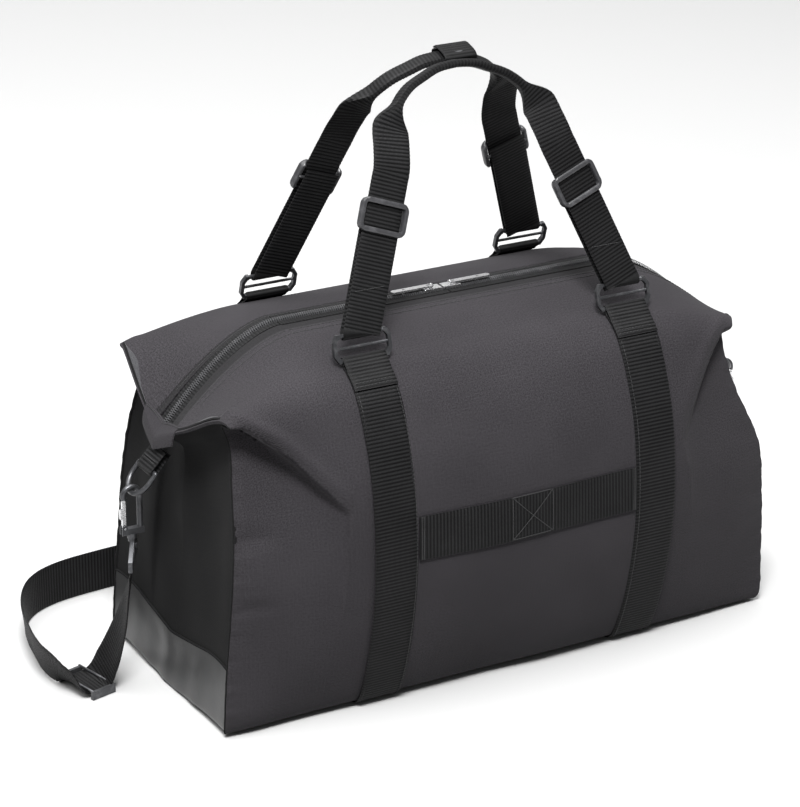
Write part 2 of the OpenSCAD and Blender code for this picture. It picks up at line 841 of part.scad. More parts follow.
// The pocket slider rests high on the straight front leg of the arch
slider_rest = arch(-0.53);
slider_low = arch(-0.75);
pocket_way = unit(slider_rest - slider_low);
pocket_tilt = [atan2(-pocket_way[1], pocket_way[2]), atan2(pocket_way[0], pocket_way[2])];

module at_pocket_slider(out) {
    translate(slider_rest) rotate([pocket_tilt[0], pocket_tilt[1], 0]) translate([out, 0, 0]) children();
}

module right_pocket_slider() {
    color(steel) at_pocket_slider(1.9) {
        translate([0, -3.6, -6]) cube([1.2, 7.2, 12]);
        difference() {
            translate([1, -0.9, -1.8]) cube([3.4, 1.8, 3.6]);
            translate([2.7, 0, 0]) rotate([90, 0, 0]) cylinder(r = 0.85, h = 4, center = true);
        }
    }
}

module right_pocket_pull() {
    color(steel) at_pocket_slider(4.6) rotate([0, -90, 0]) pull(28, 5);
}

// ------------------------------------------------------------- shoulder strap

// Middle of the strap from the left hook, over the floor and behind the bag
strap_line = [
    [-hook_x - 0.6, 1, 112], [-hook_x - 1, 6, 92], [-hook_x - 3, 13, 68],
    [-hook_x - 7, 20, 44], [-hook_x - 13, 26, 22], [-306, 30, 6], [-325, 28, 4],
    [-336, 34, 10], [-341, 48, 15], [-341, 68, 17], [-337, 92, 18], [-331, 119, 19],
    [-321, 145, 19.3], [-306, 165, 19.4], [-284, 178, 19.4], [-250, 185, 19.4],
    [-180, 189, 19.4], [-90, 191, 19.4], [0, 192, 19.4], [90, 191, 19.4],
    [180, 188, 19.4], [240, 180, 19.4], [280, 160, 20], [303, 128, 24],
    [309, 92, 34], [303, 56, 54], [292, 22, 82], [hook_x + 0.6, 1, 112]
];
// Which way the strap's width points at each of those points
strap_side = [
    [-0.5, -0.87, 0], [-0.45, -0.9, 0], [-0.3, -0.95, 0], [-0.15, -0.98, 0],
    [0, -1, 0], [0.1, -1, 0], [0.35, -0.93, 0], [0.05, -0.88, 0.47],
    [-0.2, -0.63, 0.75], [-0.26, -0.39, 0.88], [-0.24, -0.19, 0.95], [-0.16, -0.05, 0.98],
    [-0.05, 0, 1], [0, 0, 1], [0, 0, 1], [0, 0, 1],
    [0, 0, 1], [0, 0, 1], [0, 0, 1], [0, 0, 1],
    [0, 0, 1], [0, 0, 1], [0, 0.05, 1], [0, 0.15, 0.98],
    [-0.05, 0.4, 0.9], [-0.15, 0.7, 0.7], [-0.35, 0.88, 0.3], [-0.5, 0.87, 0]
];

module shoulder_strap() {
    rings = 78;
    ts = [for (i = [0:rings - 1]) i / (rings - 1)];
    path = [for (t = ts) along(strap_line, t)];
    sides = [for (i = [0:rings - 1]) let (
        way = unit(path[min(i + 1, rings - 1)] - path[max(i - 1, 0)]),
        s = along(strap_side, ts[i])
    ) unit(s - way * (s * way))];
    clear = [for (i = [0:rings - 1]) let (
        low = path[i][2] - abs(sides[i][2]) * strap_w / 2
    ) path[i] + [0, 0, max(0, 1.2 - low)]];
    color(web) ribbon(clear, sides, [for (t = ts) strap_w / 2], [for (t = ts) ply / 2]);
}

adjuster_l = 23;
adjuster_bar = 1.2;

// Adjuster lying on the floor, the strap over its middle bar and under the others
module strap_buckle() {
    color(satin) translate([-316, 29, 0.2]) rotate([0, 0, 14]) {
        for (y = [-1, 1])
            translate([0, y * (strap_w / 2 + 2.6), 3.7]) cube([adjuster_l, 3, 7], center = true);
        translate([0, 0, adjuster_bar]) rotate([90, 0, 0])
            cylinder(r = adjuster_bar, h = strap_w + 4, center = true);
        for (x = [-1, 1])
            translate([x * (adjuster_l / 2 - adjuster_bar), 0, 7.1]) rotate([90, 0, 0])
                cylinder(r = adjuster_bar, h = strap_w + 8.2, center = true);
    }
}

// ----------------------------------------------------------------- the nodes

base_board();
bottom_panel();
front_panel();
rear_panel();
left_gusset();
right_gusset();
left_end_band();
right_end_band();
left_top_end();
right_top_end();
front_mouth_flap();
rear_mouth_flap();
left_body_strap();
right_body_strap();
front_cross_webbing();
strap_loops();
front_rings();
rear_rings();
front_handle();
rear_handle();
front_handle_loops();
rear_handle_loops();
front_left_buckle();
front_right_buckle();
rear_left_buckle();
rear_right_buckle();
grip_wrap();
wrap_flap();
press_stud();
front_zip_half();
rear_zip_half();
left_zip_end();
right_zip_end();
left_zip_slider();
right_zip_slider();
left_zip_pull();
right_zip_pull();
left_end_tab();
right_end_tab();
left_ring_tab();
right_ring_tab();
left_d_ring();
right_d_ring();
left_hook();
right_hook();
left_hook_gate();
right_hook_gate();
left_eye();
right_eye();
right_pocket_panel();
right_pocket_zip();
right_pocket_slider();
right_pocket_pull();
shoulder_strap();
strap_buckle();
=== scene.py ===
"""Looks of the weekender bag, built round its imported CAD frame.

Shapes are worked out in millimetres, in the frame's own axes, and turned to metres as each mesh is made.
"""
import json
import math

import bpy
import numpy as np
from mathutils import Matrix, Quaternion, Vector


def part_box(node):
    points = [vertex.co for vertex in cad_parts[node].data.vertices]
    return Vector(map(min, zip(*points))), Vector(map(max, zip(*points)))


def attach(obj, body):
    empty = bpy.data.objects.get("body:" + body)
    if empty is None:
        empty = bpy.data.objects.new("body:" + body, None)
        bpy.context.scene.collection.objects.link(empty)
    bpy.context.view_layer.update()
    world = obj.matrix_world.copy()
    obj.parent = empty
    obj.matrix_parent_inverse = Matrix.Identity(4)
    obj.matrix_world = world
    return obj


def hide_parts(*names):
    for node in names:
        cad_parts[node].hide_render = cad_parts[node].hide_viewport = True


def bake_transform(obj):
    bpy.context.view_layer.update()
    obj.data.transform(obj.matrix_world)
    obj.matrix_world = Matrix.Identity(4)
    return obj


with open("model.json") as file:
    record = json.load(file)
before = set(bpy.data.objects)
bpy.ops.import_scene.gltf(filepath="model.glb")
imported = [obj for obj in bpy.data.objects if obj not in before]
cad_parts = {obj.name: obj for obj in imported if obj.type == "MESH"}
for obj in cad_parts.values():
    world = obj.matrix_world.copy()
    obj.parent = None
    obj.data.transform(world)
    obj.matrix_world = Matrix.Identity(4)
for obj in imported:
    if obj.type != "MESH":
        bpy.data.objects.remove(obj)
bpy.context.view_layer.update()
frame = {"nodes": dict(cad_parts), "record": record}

MM = 0.001


# ---------------------------------------------------------------- sizes from the frame

def corners(node):
    """Lowest and highest corner of a CAD node, in millimetres."""
    lo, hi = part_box(node)
    return np.array(lo) / MM, np.array(hi) / MM


JOINTS = {j["name"]: j for j in frame["record"]["behaviour"]["joints"]}


def pivot(joint):
    return np.array(JOINTS[joint]["pos_m"]) / MM


WALL = 2.6
PLY = 1.5
BOTTOM_HI = corners("bottom_panel")[1]
HALF_LENGTH = BOTTOM_HI[0] + 16
HALF_BASE = BOTTOM_HI[1] + 13
ZIP_Z = corners("front_zip_half")[1][2] - 0.8
BULGE = 36
STRAP_W = 38.0
HANDLE_W = 32.0
STRAP_X = (corners("right_body_strap")[0][0] + corners("right_body_strap")[1][0]) / 2
RING_Y, RING_Z = -pivot("front_ring_hinge")[1], pivot("front_ring_hinge")[2]
RING_H = 19
LEAN = math.radians(16.5)
HANDLE_H = 195
LEG_SLOPE = 0.372
LEG_TOP = 117
GRIP_IN = 12
BUCKLE_S = 86
BAR_R = 1.8
LOOP_R = BAR_R + 0.15 + PLY / 2
FLAP_X = 156
FOLD_V = 0.8
EDGE_V = 0.966
BAND_T = 0.31
RIB = 3.0
COIL_PITCH = 1.9
SHARP_ANGLE = math.radians(40)
ALONG_X = np.array([1.0, 0, 0])
ALONG_Y = np.array([0, 1.0, 0])
MIRROR_X = np.array([-1, 1, 1])
MIRROR_Y = np.array([1, -1, 1])
SIDES = ((-1, "left"), (1, "right"))
HALVES = ((False, "front"), (True, "rear"))


# ---------------------------------------------------------------- small maths

def lerp(a, b, t):
    return a + (b - a) * t


def smooth(t):
    c = np.clip(t, 0, 1)
    return c * c * (3 - 2 * c)


def bell(x, width):
    return np.exp(-(x / width) ** 2)


def unit(v):
    return v / np.maximum(np.linalg.norm(v, axis=-1, keepdims=True), 1e-9)


def along(points, t):
    """Smooth curve through a list of numbers or points, at t from 0 to 1."""
    pts = np.asarray(points, float)
    n = len(pts) - 1
    s = np.clip(t, 0, 1) * n
    i = np.minimum(np.floor(s).astype(int), n - 1)
    f = s - i
    if pts.ndim == 2:
        f = f[..., None]
    p0, p1 = pts[np.maximum(i - 1, 0)], pts[i]
    p2, p3 = pts[i + 1], pts[np.minimum(i + 2, n)]
    return (
        p1
        + (p2 - p0) * f / 2
        + (2 * p0 - 5 * p1 + 4 * p2 - p3) * f**2 / 2
        + (3 * p1 - p0 - 3 * p2 + p3) * f**3 / 2
    )


def arc_length(path):
    steps = np.linalg.norm(np.diff(path, axis=0), axis=1)
    return np.concatenate([[0], np.cumsum(steps)])


def resample(path, gap, *columns):
    """The path at even steps of about gap, with every other column of numbers read at the same places."""
    s = arc_length(path)
    even = np.linspace(0, s[-1], max(int(s[-1] / gap), 2) + 1)

    def read(c):
        c = np.asarray(c, float)
        if c.ndim == 1:
            return np.interp(even, s, c)
        return np.stack([np.interp(even, s, c[:, k]) for k in range(c.shape[1])], 1)

    return [read(path), even] + [read(c) for c in columns]


def read_at(d, s, points):
    """The one of the points that is at d, where s gives their places."""
    return np.array([np.interp(d, s, points[:, c]) for c in range(3)])


# ---------------------------------------------------------------- the bag's surface

MID_LINE = np.array([
    [HALF_BASE - 9, 2], [HALF_BASE + 6, 11], [HALF_BASE + BULGE * 0.62, 50],
    [HALF_BASE + BULGE * 0.95, 105], [HALF_BASE + BULGE, 155], [HALF_BASE + BULGE * 0.8, 210],
    [HALF_BASE + 9, 256], [HALF_BASE - 13, 280], [HALF_BASE - 35, ZIP_Z - 12],
    [HALF_BASE - 70, ZIP_Z - 3], [0.2, ZIP_Z],
])
END_LINE = np.array([
    [HALF_BASE - 9, 2], [HALF_BASE, 9], [HALF_BASE + 1, 50], [HALF_BASE + 1, 105],
    [HALF_BASE + 1, 155], [HALF_BASE, 200], [HALF_BASE - 1, 238], [HALF_BASE - 5, 262],
    [HALF_BASE - 24, 262], [HALF_BASE - 65, 240], [0.2, 222],
])
LEFT_IN = [7, 0, 2, 7, 11, 15, 19, 11, 6, 0, -5]
RIGHT_IN = [7, -1, 1, 5, 11, 30, 41, 39, 28, 4, -7]
WING_V = 0.7
HEM_V = {False: 0.936, True: 0.949}
FACING_V = {False: 0.9365, True: 0.95}


def end_x(u, v):
    return HALF_LENGTH - np.where(u < 0, along(LEFT_IN, v), along(RIGHT_IN, v))


def u_at(x, v):
    """u of the place at x on row v."""
    return x / end_x(x, v)


def tuck(from_end, z, left):
    """Depth of the fold under each top corner, deep and crisp at the left."""
    t = np.clip((from_end - 8) / 78, 0, 1)
    below = (262 - 77 * t - z) * 0.69
    depth = np.where(left, 23.0, 15.0) * smooth(below / np.where(left, 4.5, 8.0))
    depth = depth * np.exp(-np.square(below / 46)) * (1 - t) ** np.where(left, 0.5, 0.8)
    return np.where(below < 0, 0, depth)


def base_skin(u, v):
    """Front half of the bag: u from end to end, v from the base to the zip."""
    u, v = np.broadcast_arrays(np.asarray(u, float), np.asarray(v, float))
    a = np.abs(u)
    drop = np.clip((a - 0.6) / 0.4, 0, 1) ** 1.6
    swell = lerp(a**3, drop, smooth((v - 0.6) / 0.2))
    m, e = along(MID_LINE, v), along(END_LINE, v)
    ex = end_x(u, v)
    z = lerp(m[..., 1], e[..., 1], lerp(a**3, drop, smooth((v - 0.5) / 0.2)))
    y = lerp(m[..., 0], e[..., 0], swell) - np.where(v < 0.75, tuck((1 - a) * ex, z, u < 0), 0)
    return np.stack([ex * u, -y, z], -1)


def folds(p, u, v, rear):
    """How far the soft cloth stands out from the plain surface."""
    x, z = p[..., 0], p[..., 2]
    a = np.abs(u)
    turn = 1.7 if rear else 0.0
    upright = smooth((v - 0.04) / 0.1) * smooth((0.7 - v) / 0.08)
    off_strap = 1 - bell(np.abs(x) - STRAP_X, 26)
    out = upright * off_strap * (
        1.1 * np.sin(x / 47 + z / 61 + turn)
        + 0.7 * np.sin(x / 23 - z / 38 + 2 * turn)
        + 0.45 * np.sin(x / 13 + z / 90 + turn) * bell(z - 60, 60)
    )
    # the fold under each corner, crisp at the left where the roof hangs over
    from_end = (1 - a) * end_x(u, v)
    share = 0.25 if rear else np.where(x < 0, 1.0, 0.35)
    t = np.clip((from_end - 8) / 80, 0, 1)
    above = z - (263 - 77 * t)
    fade = (1 - t) ** 0.45 * smooth((from_end + 3) / 12) * smooth((0.8 - v) / 0.03)
    roll = 4.2 * bell(above - 7, 8) * fade
    pucker = 0.28 * np.sin(z / 2.9 + turn) + 0.2 * np.sin(z / 1.6)
    seam = pucker * np.exp(-from_end / 9) * upright
    dimple = -2.4 * np.exp(-np.square(from_end - 14) / 300) * (bell(z - 168, 8) + bell(z - 112, 6) * 0.7)
    ease = 1.5 * np.sin(z / 19 + 1) * bell(from_end - 20, 22) * upright * share
    hem = -0.9 * smooth((v - HEM_V[rear]) / 0.004)
    return out + (roll + dimple + ease) * share + seam + hem


def skin(u, v, rear=False, out=0.0):
    """Point on the cloth, moved out along the surface by out, on the front or the rear half."""
    u, v = np.broadcast_arrays(np.asarray(u, float), np.asarray(v, float))
    p = base_skin(u, v)
    p = p + skin_normal(u, v) * (folds(p, u, v, rear) + out)[..., None]
    return p * MIRROR_Y if rear else p


def skin_normal(u, v):
    d = 0.004
    du = base_skin(np.minimum(u + d, 1), v) - base_skin(np.maximum(u - d, -1), v)
    dv = base_skin(u, np.minimum(v + d, 1)) - base_skin(u, np.maximum(v - d, 0))
    return unit(np.cross(du, dv))


def cloth_normal(u, v, rear):
    """Normal of the folded cloth itself, so that neighbouring pieces shade as one."""
    d = 0.0015
    du = skin(np.minimum(u + d, 1), v, rear) - skin(np.maximum(u - d, -1), v, rear)
    dv = skin(u, np.minimum(v + d, 1), rear) - skin(u, np.maximum(v - d, 0), rear)
    n = unit(np.cross(du, dv))
    return -n if rear else n


# ---------------------------------------------------------------- materials

class Shader:
    """A node material written as a few chained calls."""

    def __init__(self, name):
        self.mat = bpy.data.materials.new(name)
        self.mat.use_nodes = True
        self.tree = self.mat.node_tree
        self.bsdf = self.tree.nodes["Principled BSDF"]
        uv = self.tree.nodes.new("ShaderNodeUVMap")
        uv.uv_map = "UVMap"
        self.uv = uv.outputs["UV"]
        split = self.tree.nodes.new("ShaderNodeSeparateXYZ")
        self.tree.links.new(self.uv, split.inputs[0])
        self.x, self.y = split.outputs["X"], split.outputs["Y"]
        self.place = self.tree.nodes.new("ShaderNodeTexCoord").outputs["Object"]

    def feed(self, socket, value):
        if isinstance(value, bpy.types.NodeSocket):
            self.tree.links.new(value, socket)
        else:
            socket.default_value = value

    def math(self, op, a, b=0.0, c=0.0):
        n = self.tree.nodes.new("ShaderNodeMath")
        n.operation = op
        for socket, value in zip(n.inputs, (a, b, c)):
            self.feed(socket, value)
        return n.outputs[0]

    def wave(self, coordinate, pitch, shift=0.0):
        """From 0 to 1 and back once in every pitch, in metres."""
        angle = self.math("MULTIPLY_ADD", coordinate, 2 * math.pi / pitch, shift)
        return self.math("MULTIPLY_ADD", self.math("SINE", angle), 0.5, 0.5)

    def noise(self, scale, detail=2.0, vector=None, rough=0.5):
        n = self.tree.nodes.new("ShaderNodeTexNoise")
        self.feed(n.inputs["Vector"], vector or self.place)
        n.inputs["Scale"].default_value = scale
        n.inputs["Detail"].default_value = detail
        n.inputs["Roughness"].default_value = rough
        return n.outputs["Fac"]

    def ramp(self, value, lo, hi, out_lo, out_hi):
        n = self.tree.nodes.new("ShaderNodeMapRange")
        self.feed(n.inputs["Value"], value)
        for name, v in (("From Min", lo), ("From Max", hi), ("To Min", out_lo), ("To Max", out_hi)):
            n.inputs[name].default_value = v
        return n.outputs["Result"]

    def mix(self, factor, a, b):
        n = self.tree.nodes.new("ShaderNodeMix")
        n.data_type = "RGBA"
        self.feed(n.inputs["Factor"], factor)
        self.feed(n.inputs[6], (*a, 1))
        self.feed(n.inputs[7], (*b, 1))
        return n.outputs[2]

    def bump(self, height, depth, strength=1.0, under=None):
        n = self.tree.nodes.new("ShaderNodeBump")
        n.inputs["Strength"].default_value = strength
        n.inputs["Distance"].default_value = depth
        self.feed(n.inputs["Height"], height)
        if under is not None:
            self.feed(n.inputs["Normal"], under)
        return n.outputs[0]

    def done(self, color, roughness, normal=None, **values):
        self.feed(self.bsdf.inputs["Base Color"], color)
        self.feed(self.bsdf.inputs["Roughness"], roughness)
        if normal is not None:
            self.feed(self.bsdf.inputs["Normal"], normal)
        for name, value in values.items():
            self.bsdf.inputs[name.replace("_", " ")].default_value = value
        return self.mat


def woven(name, dark, light, yarn, grid, contrast, sheen):
    """Fine two-tone twill with a faint square grid of heavier yarns."""
    s = Shader(name)
    warp, weft = s.wave(s.x, yarn), s.wave(s.y, yarn)
    twill = s.wave(s.math("ADD", s.x, s.y), yarn * 1.9)
    weave = s.math("MULTIPLY", s.math("ADD", warp, weft), 0.5)
    melange = s.noise(900, 2.0, s.uv, 0.7)
    patch = s.noise(16, 3.0)
    rip_x, rip_y = s.math("POWER", s.wave(s.x, grid), 8.0), s.math("POWER", s.wave(s.y, grid), 8.0)
    rip = s.math("MAXIMUM", rip_x, rip_y)
    tone = s.math("MULTIPLY_ADD", s.math("SUBTRACT", melange, 0.5), 2.6, 0.5)
    tone = s.math("MULTIPLY_ADD", s.math("SUBTRACT", twill, 0.5), contrast, tone)
    tone = s.math("MULTIPLY_ADD", s.math("SUBTRACT", patch, 0.5), 0.35, tone)
    tone = s.math("MULTIPLY_ADD", rip, 0.1, tone)
    height = s.math("MULTIPLY_ADD", rip, 0.25, weave)
    return s.done(
        s.mix(s.ramp(tone, 0.0, 1.0, 0.0, 1.0), dark, light),
        s.ramp(melange, 0.3, 0.7, 0.68, 0.86),
        s.bump(height, 0.00012, 0.7),
        Sheen_Weight=sheen, Sheen_Roughness=0.45, Specular_IOR_Level=0.06,
    )


def ribbed(name, dark, light, sheen):
    """Webbing: heavy ribs are geometry, and the fine yarns between them are here, with painted shade in the
    valleys between the ribs.
    """
    s = Shader(name)
    yarn = s.wave(s.x, 0.0011)
    rib_wave_and_shade = s.wave(s.y, RIB * MM, -math.pi / 2)
    fuzz = s.noise(900, 2.0, s.uv)
    wear = s.noise(38, 3.0)
    # painted shade: the tone is darker in the valleys between the ribs and lighter on their crests
    tone = s.math("MULTIPLY_ADD", rib_wave_and_shade, 0.7, s.math("MULTIPLY", fuzz, 0.3))
    tone = s.math("MULTIPLY_ADD", s.math("SUBTRACT", wear, 0.5), 0.4, tone)
    return s.done(
        s.mix(s.ramp(tone, 0.15, 0.9, 0.0, 1.0), dark, light),
        s.ramp(fuzz, 0.3, 0.7, 0.42, 0.62),
        s.bump(s.math("MULTIPLY", yarn, s.math("ADD", rib_wave_and_shade, 0.4)), 0.0002, 0.8),
        Sheen_Weight=sheen, Sheen_Roughness=0.4, Specular_IOR_Level=0.1,
    )


def coated_cloth(name):
    s = Shader(name)
    grain = s.noise(700, 3.0)
    crease_relief_and_shade = s.noise(26, 3.0)
    # the colour follows the crease relief: painted shade in its hollows, lighter on its ridges
    return s.done(
        s.mix(crease_relief_and_shade, (0.012, 0.012, 0.0125), (0.018, 0.018, 0.0185)),
        s.ramp(crease_relief_and_shade, 0.3, 0.7, 0.34, 0.46),
        s.bump(grain, 0.00012, 0.5, s.bump(crease_relief_and_shade, 0.0012, 0.35)),
        Specular_IOR_Level=0.45, Coat_Weight=0.08, Coat_Roughness=0.35,
    )


def hard(name, color, worn, rough, metallic, grain=0.3):
    """Metal or moulded plastic with fine grain and lighter worn spots."""
    s = Shader(name)
    fine, spots = s.noise(1100, 3.0), s.noise(120, 4.0, rough=0.7)
    return s.done(
        s.mix(s.ramp(spots, 0.5, 0.75, 0.0, 1.0), color, worn),
        s.ramp(spots, 0.3, 0.7, rough, rough + 0.12),
        s.bump(fine, 0.00008, grain),
        Metallic=metallic, Specular_IOR_Level=0.55,
    )


FABRIC = woven(
    "charcoal_twill", (0.0086, 0.008, 0.009), (0.0355, 0.0332, 0.0367), 0.00075, 0.0033, 0.5, 0.03,
)
# The ends' cloth is charcoal like the front's; its much darker colour here is painted shade of the ends under
# the overhanging top.
GUSSET = woven(
    "end_weave_darkened_by_painted_shade", (0.0026, 0.0026, 0.0027), (0.0105, 0.0105, 0.0108), 0.0009, 0.004, 0.3, 0.01,
)
FACING = woven("zip_facing", (0.006, 0.0058, 0.0062), (0.02, 0.0194, 0.0206), 0.0009, 0.004, 0.4, 0.04)
LINING = woven("dark_lining", (0.02, 0.02, 0.022), (0.05, 0.05, 0.053), 0.0005, 0.006, 0.2, 0.1)
COATED = coated_cloth("coated_band")
WEBBING = ribbed("black_webbing", (0.0012, 0.0012, 0.0013), (0.0115, 0.0115, 0.012), 0.015)
TAPE = ribbed("zip_tape", (0.003, 0.003, 0.0032), (0.011, 0.011, 0.0115), 0.03)
SATIN = hard("satin_gunmetal", (0.055, 0.056, 0.06), (0.12, 0.12, 0.125), 0.3, 0.75)
PLASTIC = hard("moulded_plastic", (0.022, 0.022, 0.024), (0.05, 0.05, 0.054), 0.32, 0.0)
STEEL = hard("polished_nickel", (0.72, 0.72, 0.73), (0.85, 0.85, 0.85), 0.2, 1.0, 0.1)
NYLON = hard("nylon_coil", (0.035, 0.035, 0.037), (0.07, 0.07, 0.074), 0.3, 0.0)
THREAD = hard("sewing_thread", (0.006, 0.006, 0.0065), (0.014, 0.014, 0.015), 0.6, 0.0)


# ---------------------------------------------------------------- meshes

class Piece:
    """Collects vertices, faces, texture places and materials, then becomes one object."""

    def __init__(self, name, *materials):
        self.name, self.materials = name, materials
        self.verts, self.faces, self.uvs, self.slots, self.normals = [], [], [], [], []
        self.count = 0

    def add(self, verts, quads, uvs, slot=0, normals=None):
        """quads index verts, and uvs gives two numbers in millimetres for each corner of each quad."""
        verts = np.asarray(verts, float).reshape(-1, 3)
        quads = np.asarray(quads, int)
        self.verts.append(verts)
        self.faces.append(quads + self.count)
        self.uvs.append(np.asarray(uvs, float).reshape(-1, 2))
        self.slots.append(np.full(len(quads), slot))
        self.normals.append(np.zeros((quads.size, 3)) if normals is None else normals[quads.reshape(-1)])
        self.count += len(verts)

    def add_faces(self, quads, uvs, slot):
        """More faces on vertices that are already there, counted from the piece's first one."""
        self.faces.append(quads)
        self.uvs.append(uvs)
        self.slots.append(np.full(len(quads), slot))
        self.normals.append(np.zeros((quads.size, 3)))

    def add_caps(self, start, rows, cols, slot):
        """Closes both ends of a tube of rows by cols vertices, the first of which is start."""
        for row, reverse in ((0, True), (rows - 1, False)):
            i = start + row * cols
            for j in range(cols // 2 - 1):
                quad = np.array([[i + j, i + j + 1, i + cols - 2 - j, i + cols - 1 - j]])
                self.add_faces(quad[:, ::-1] if reverse else quad, np.zeros((4, 2)), slot)

    def build(self, body=None):
        verts = np.concatenate(self.verts) * MM
        faces = [q.tolist() for group in self.faces for q in group]
        mesh = bpy.data.meshes.new(self.name)
        mesh.from_pydata(verts.tolist(), [], faces)
        layer = mesh.uv_layers.new(name="UVMap")
        layer.data.foreach_set("uv", (np.concatenate(self.uvs) * MM).astype(np.float32).reshape(-1))
        mesh.polygons.foreach_set("material_index", np.concatenate(self.slots).astype(np.int32))
        mesh.polygons.foreach_set("use_smooth", np.ones(len(faces), bool))
        for m in self.materials:
            mesh.materials.append(m)
        mesh.update()
        mesh.set_sharp_from_angle(angle=SHARP_ANGLE)
        normals = np.concatenate(self.normals)
        if np.abs(normals).max() > 0:
            mesh.normals_split_custom_set(normals.tolist())
        obj = bpy.data.objects.new(self.name, mesh)
        bpy.context.scene.collection.objects.link(obj)
        if body:
            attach(obj, body)
        return obj


def stands_for(obj, slot, *nodes):
    """Hides the CAD nodes that the piece shows in place of; obj and slot are not used."""
    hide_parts(*nodes)


def grid_quads(rows, cols, wrap=False, flip=False):
    r = np.arange(rows - 1)[:, None] * cols
    c = np.arange(cols if wrap else cols - 1)[None, :]
    n = (c + 1) % cols
    quads = np.stack([r + c, r + n, r + cols + n, r + cols + c], -1).reshape(-1, 4)
    return quads[:, ::-1] if flip else quads


def grid_uvs(us, vs, flip=False):
    """Texture places of each quad's corners, from those of the grid's points."""
    a = np.stack([us, vs], -1)
    uv = np.stack([a[:-1, :-1], a[:-1, 1:], a[1:, 1:], a[1:, :-1]], 2).reshape(-1, 4, 2)
    return uv[:, ::-1] if flip else uv


def add_shell(piece, outer, inner, us, vs, flip=False, slots=(0, 1), normals=None):
    """Closed cloth between an outer and an inner grid of points. flip turns the faces over, and us and vs
    are the texture places of the columns and rows, or of each point."""
    if us.ndim == 1:
        us, vs = np.meshgrid(us, vs)
    rows, cols = outer.shape[:2]
    n = rows * cols
    points = np.concatenate([outer.reshape(-1, 3), inner.reshape(-1, 3)])
    if normals is not None:
        normals = np.concatenate([normals.reshape(-1, 3), np.zeros((n, 3))])
    top = grid_quads(rows, cols, flip=flip)
    under = grid_quads(rows, cols, flip=not flip) + n
    rim = []
    for ring, reverse in (
        (np.arange(cols), False), (np.arange(cols) + (rows - 1) * cols, True),
        (np.arange(rows) * cols, True), (np.arange(rows) * cols + cols - 1, False),
    ):
        q = np.stack([ring[:-1], ring[:-1] + n, ring[1:] + n, ring[1:]], -1)
        rim.append(q[:, ::-1] if reverse != flip else q)
    rim = np.concatenate(rim)
    start = piece.count
    piece.add(points, top, grid_uvs(us, vs, flip), slots[0], normals)
    # the inside and the rim share the same points
    places = np.tile(np.stack([us, vs], -1).reshape(-1, 2), (2, 1))
    for quads, slot in ((under, slots[1]), (rim, slots[0])):
        piece.add_faces(quads + start, places[quads].reshape(-1, 2), slot)


UPPER_HALF = [(x, 1) for x in np.linspace(-0.93, 0.93, 7)] + [(1, 0.45), (1, -0.45)]
FLAT = np.array(UPPER_HALF + [(-x, -y) for x, y in UPPER_HALF])


def add_ribbon(piece, path, side, half_w, half_t, ribs=0.32, round_to=None, slot=0):
    """Webbing swept along path. side is the way its width points, for all of it or for each point; ribs is
    their height; round_to goes from 0, flat, to 1, a folded rope of oval section."""
    n = len(path)
    tangent = unit(np.gradient(path, axis=0))
    side = unit(side - tangent * np.sum(side * tangent, 1, keepdims=True))
    normal = unit(np.cross(tangent, side))
    s = arc_length(path)
    rib = np.abs(np.sin(math.pi * s / RIB)) ** 0.8 - 0.6
    angle = np.arctan2(FLAT[:, 1], FLAT[:, 0])
    k = np.zeros(n) if round_to is None else round_to
    shape = lerp(FLAT[None], np.stack([np.cos(angle), np.sin(angle)], 1)[None], k[:, None, None])
    reach = np.abs(shape[..., 1]) * ribs * rib[:, None]
    half_w, half_t = np.broadcast_to(half_w, n), np.broadcast_to(half_t, n)
    across = shape[..., 0] * (half_w[:, None] + 0.12 * rib[:, None])
    up = shape[..., 1] * half_t[:, None] + np.sign(shape[..., 1]) * reach
    points = path[:, None] + across[..., None] * side[:, None] + up[..., None] * normal[:, None]
    cols = len(FLAT)
    outline = np.vstack([FLAT, FLAT[:1]]) * [half_w[0], half_t[0]]
    us, vs = np.meshgrid(arc_length(outline), s)
    start = piece.count
    piece.add(points, grid_quads(n, cols, wrap=True), grid_uvs(us, vs), slot)
    piece.add_caps(start, n, cols, slot)


def add_tube(piece, path, radius, slot=0, sides=8):
    """Round rod along path, with rounded ends."""
    path = np.asarray(path, float)
    tangent = unit(np.gradient(path, axis=0))
    helper = np.where(np.abs(tangent[:, 2:3]) > 0.9, [[1.0, 0, 0]], [[0, 0, 1.0]])
    a = unit(np.cross(tangent, helper))
    for i in range(1, len(a)):
        if np.dot(a[i], a[i - 1]) < 0:
            a[i] = -a[i]
    b = np.cross(tangent, a)
    radius = np.broadcast_to(radius, len(path)).astype(float)
    end_cap = ((0.9, 0.35), (0.6, 0.8))
    rows = [(path[0] - tangent[0] * radius[0] * d, 0, radius[0] * f) for d, f in end_cap]
    rows += [(path[i], i, radius[i]) for i in range(len(path))]
    rows += [(path[-1] + tangent[-1] * radius[-1] * d, -1, radius[-1] * f) for d, f in reversed(end_cap)]
    t = np.linspace(0, 2 * math.pi, sides, endpoint=False)
    points = np.array([
        c + r * (np.cos(t)[:, None] * a[i] + np.sin(t)[:, None] * b[i]) for c, i, r in rows
    ])
    n = len(rows)
    s = arc_length(np.array([r[0] for r in rows]))
    us, vs = np.meshgrid(np.linspace(0, 2 * math.pi * radius.max(), sides + 1), s)
    start = piece.count
    piece.add(points, grid_quads(n, sides, wrap=True), grid_uvs(us, vs), slot)
    piece.add_caps(start, n, sides, slot)


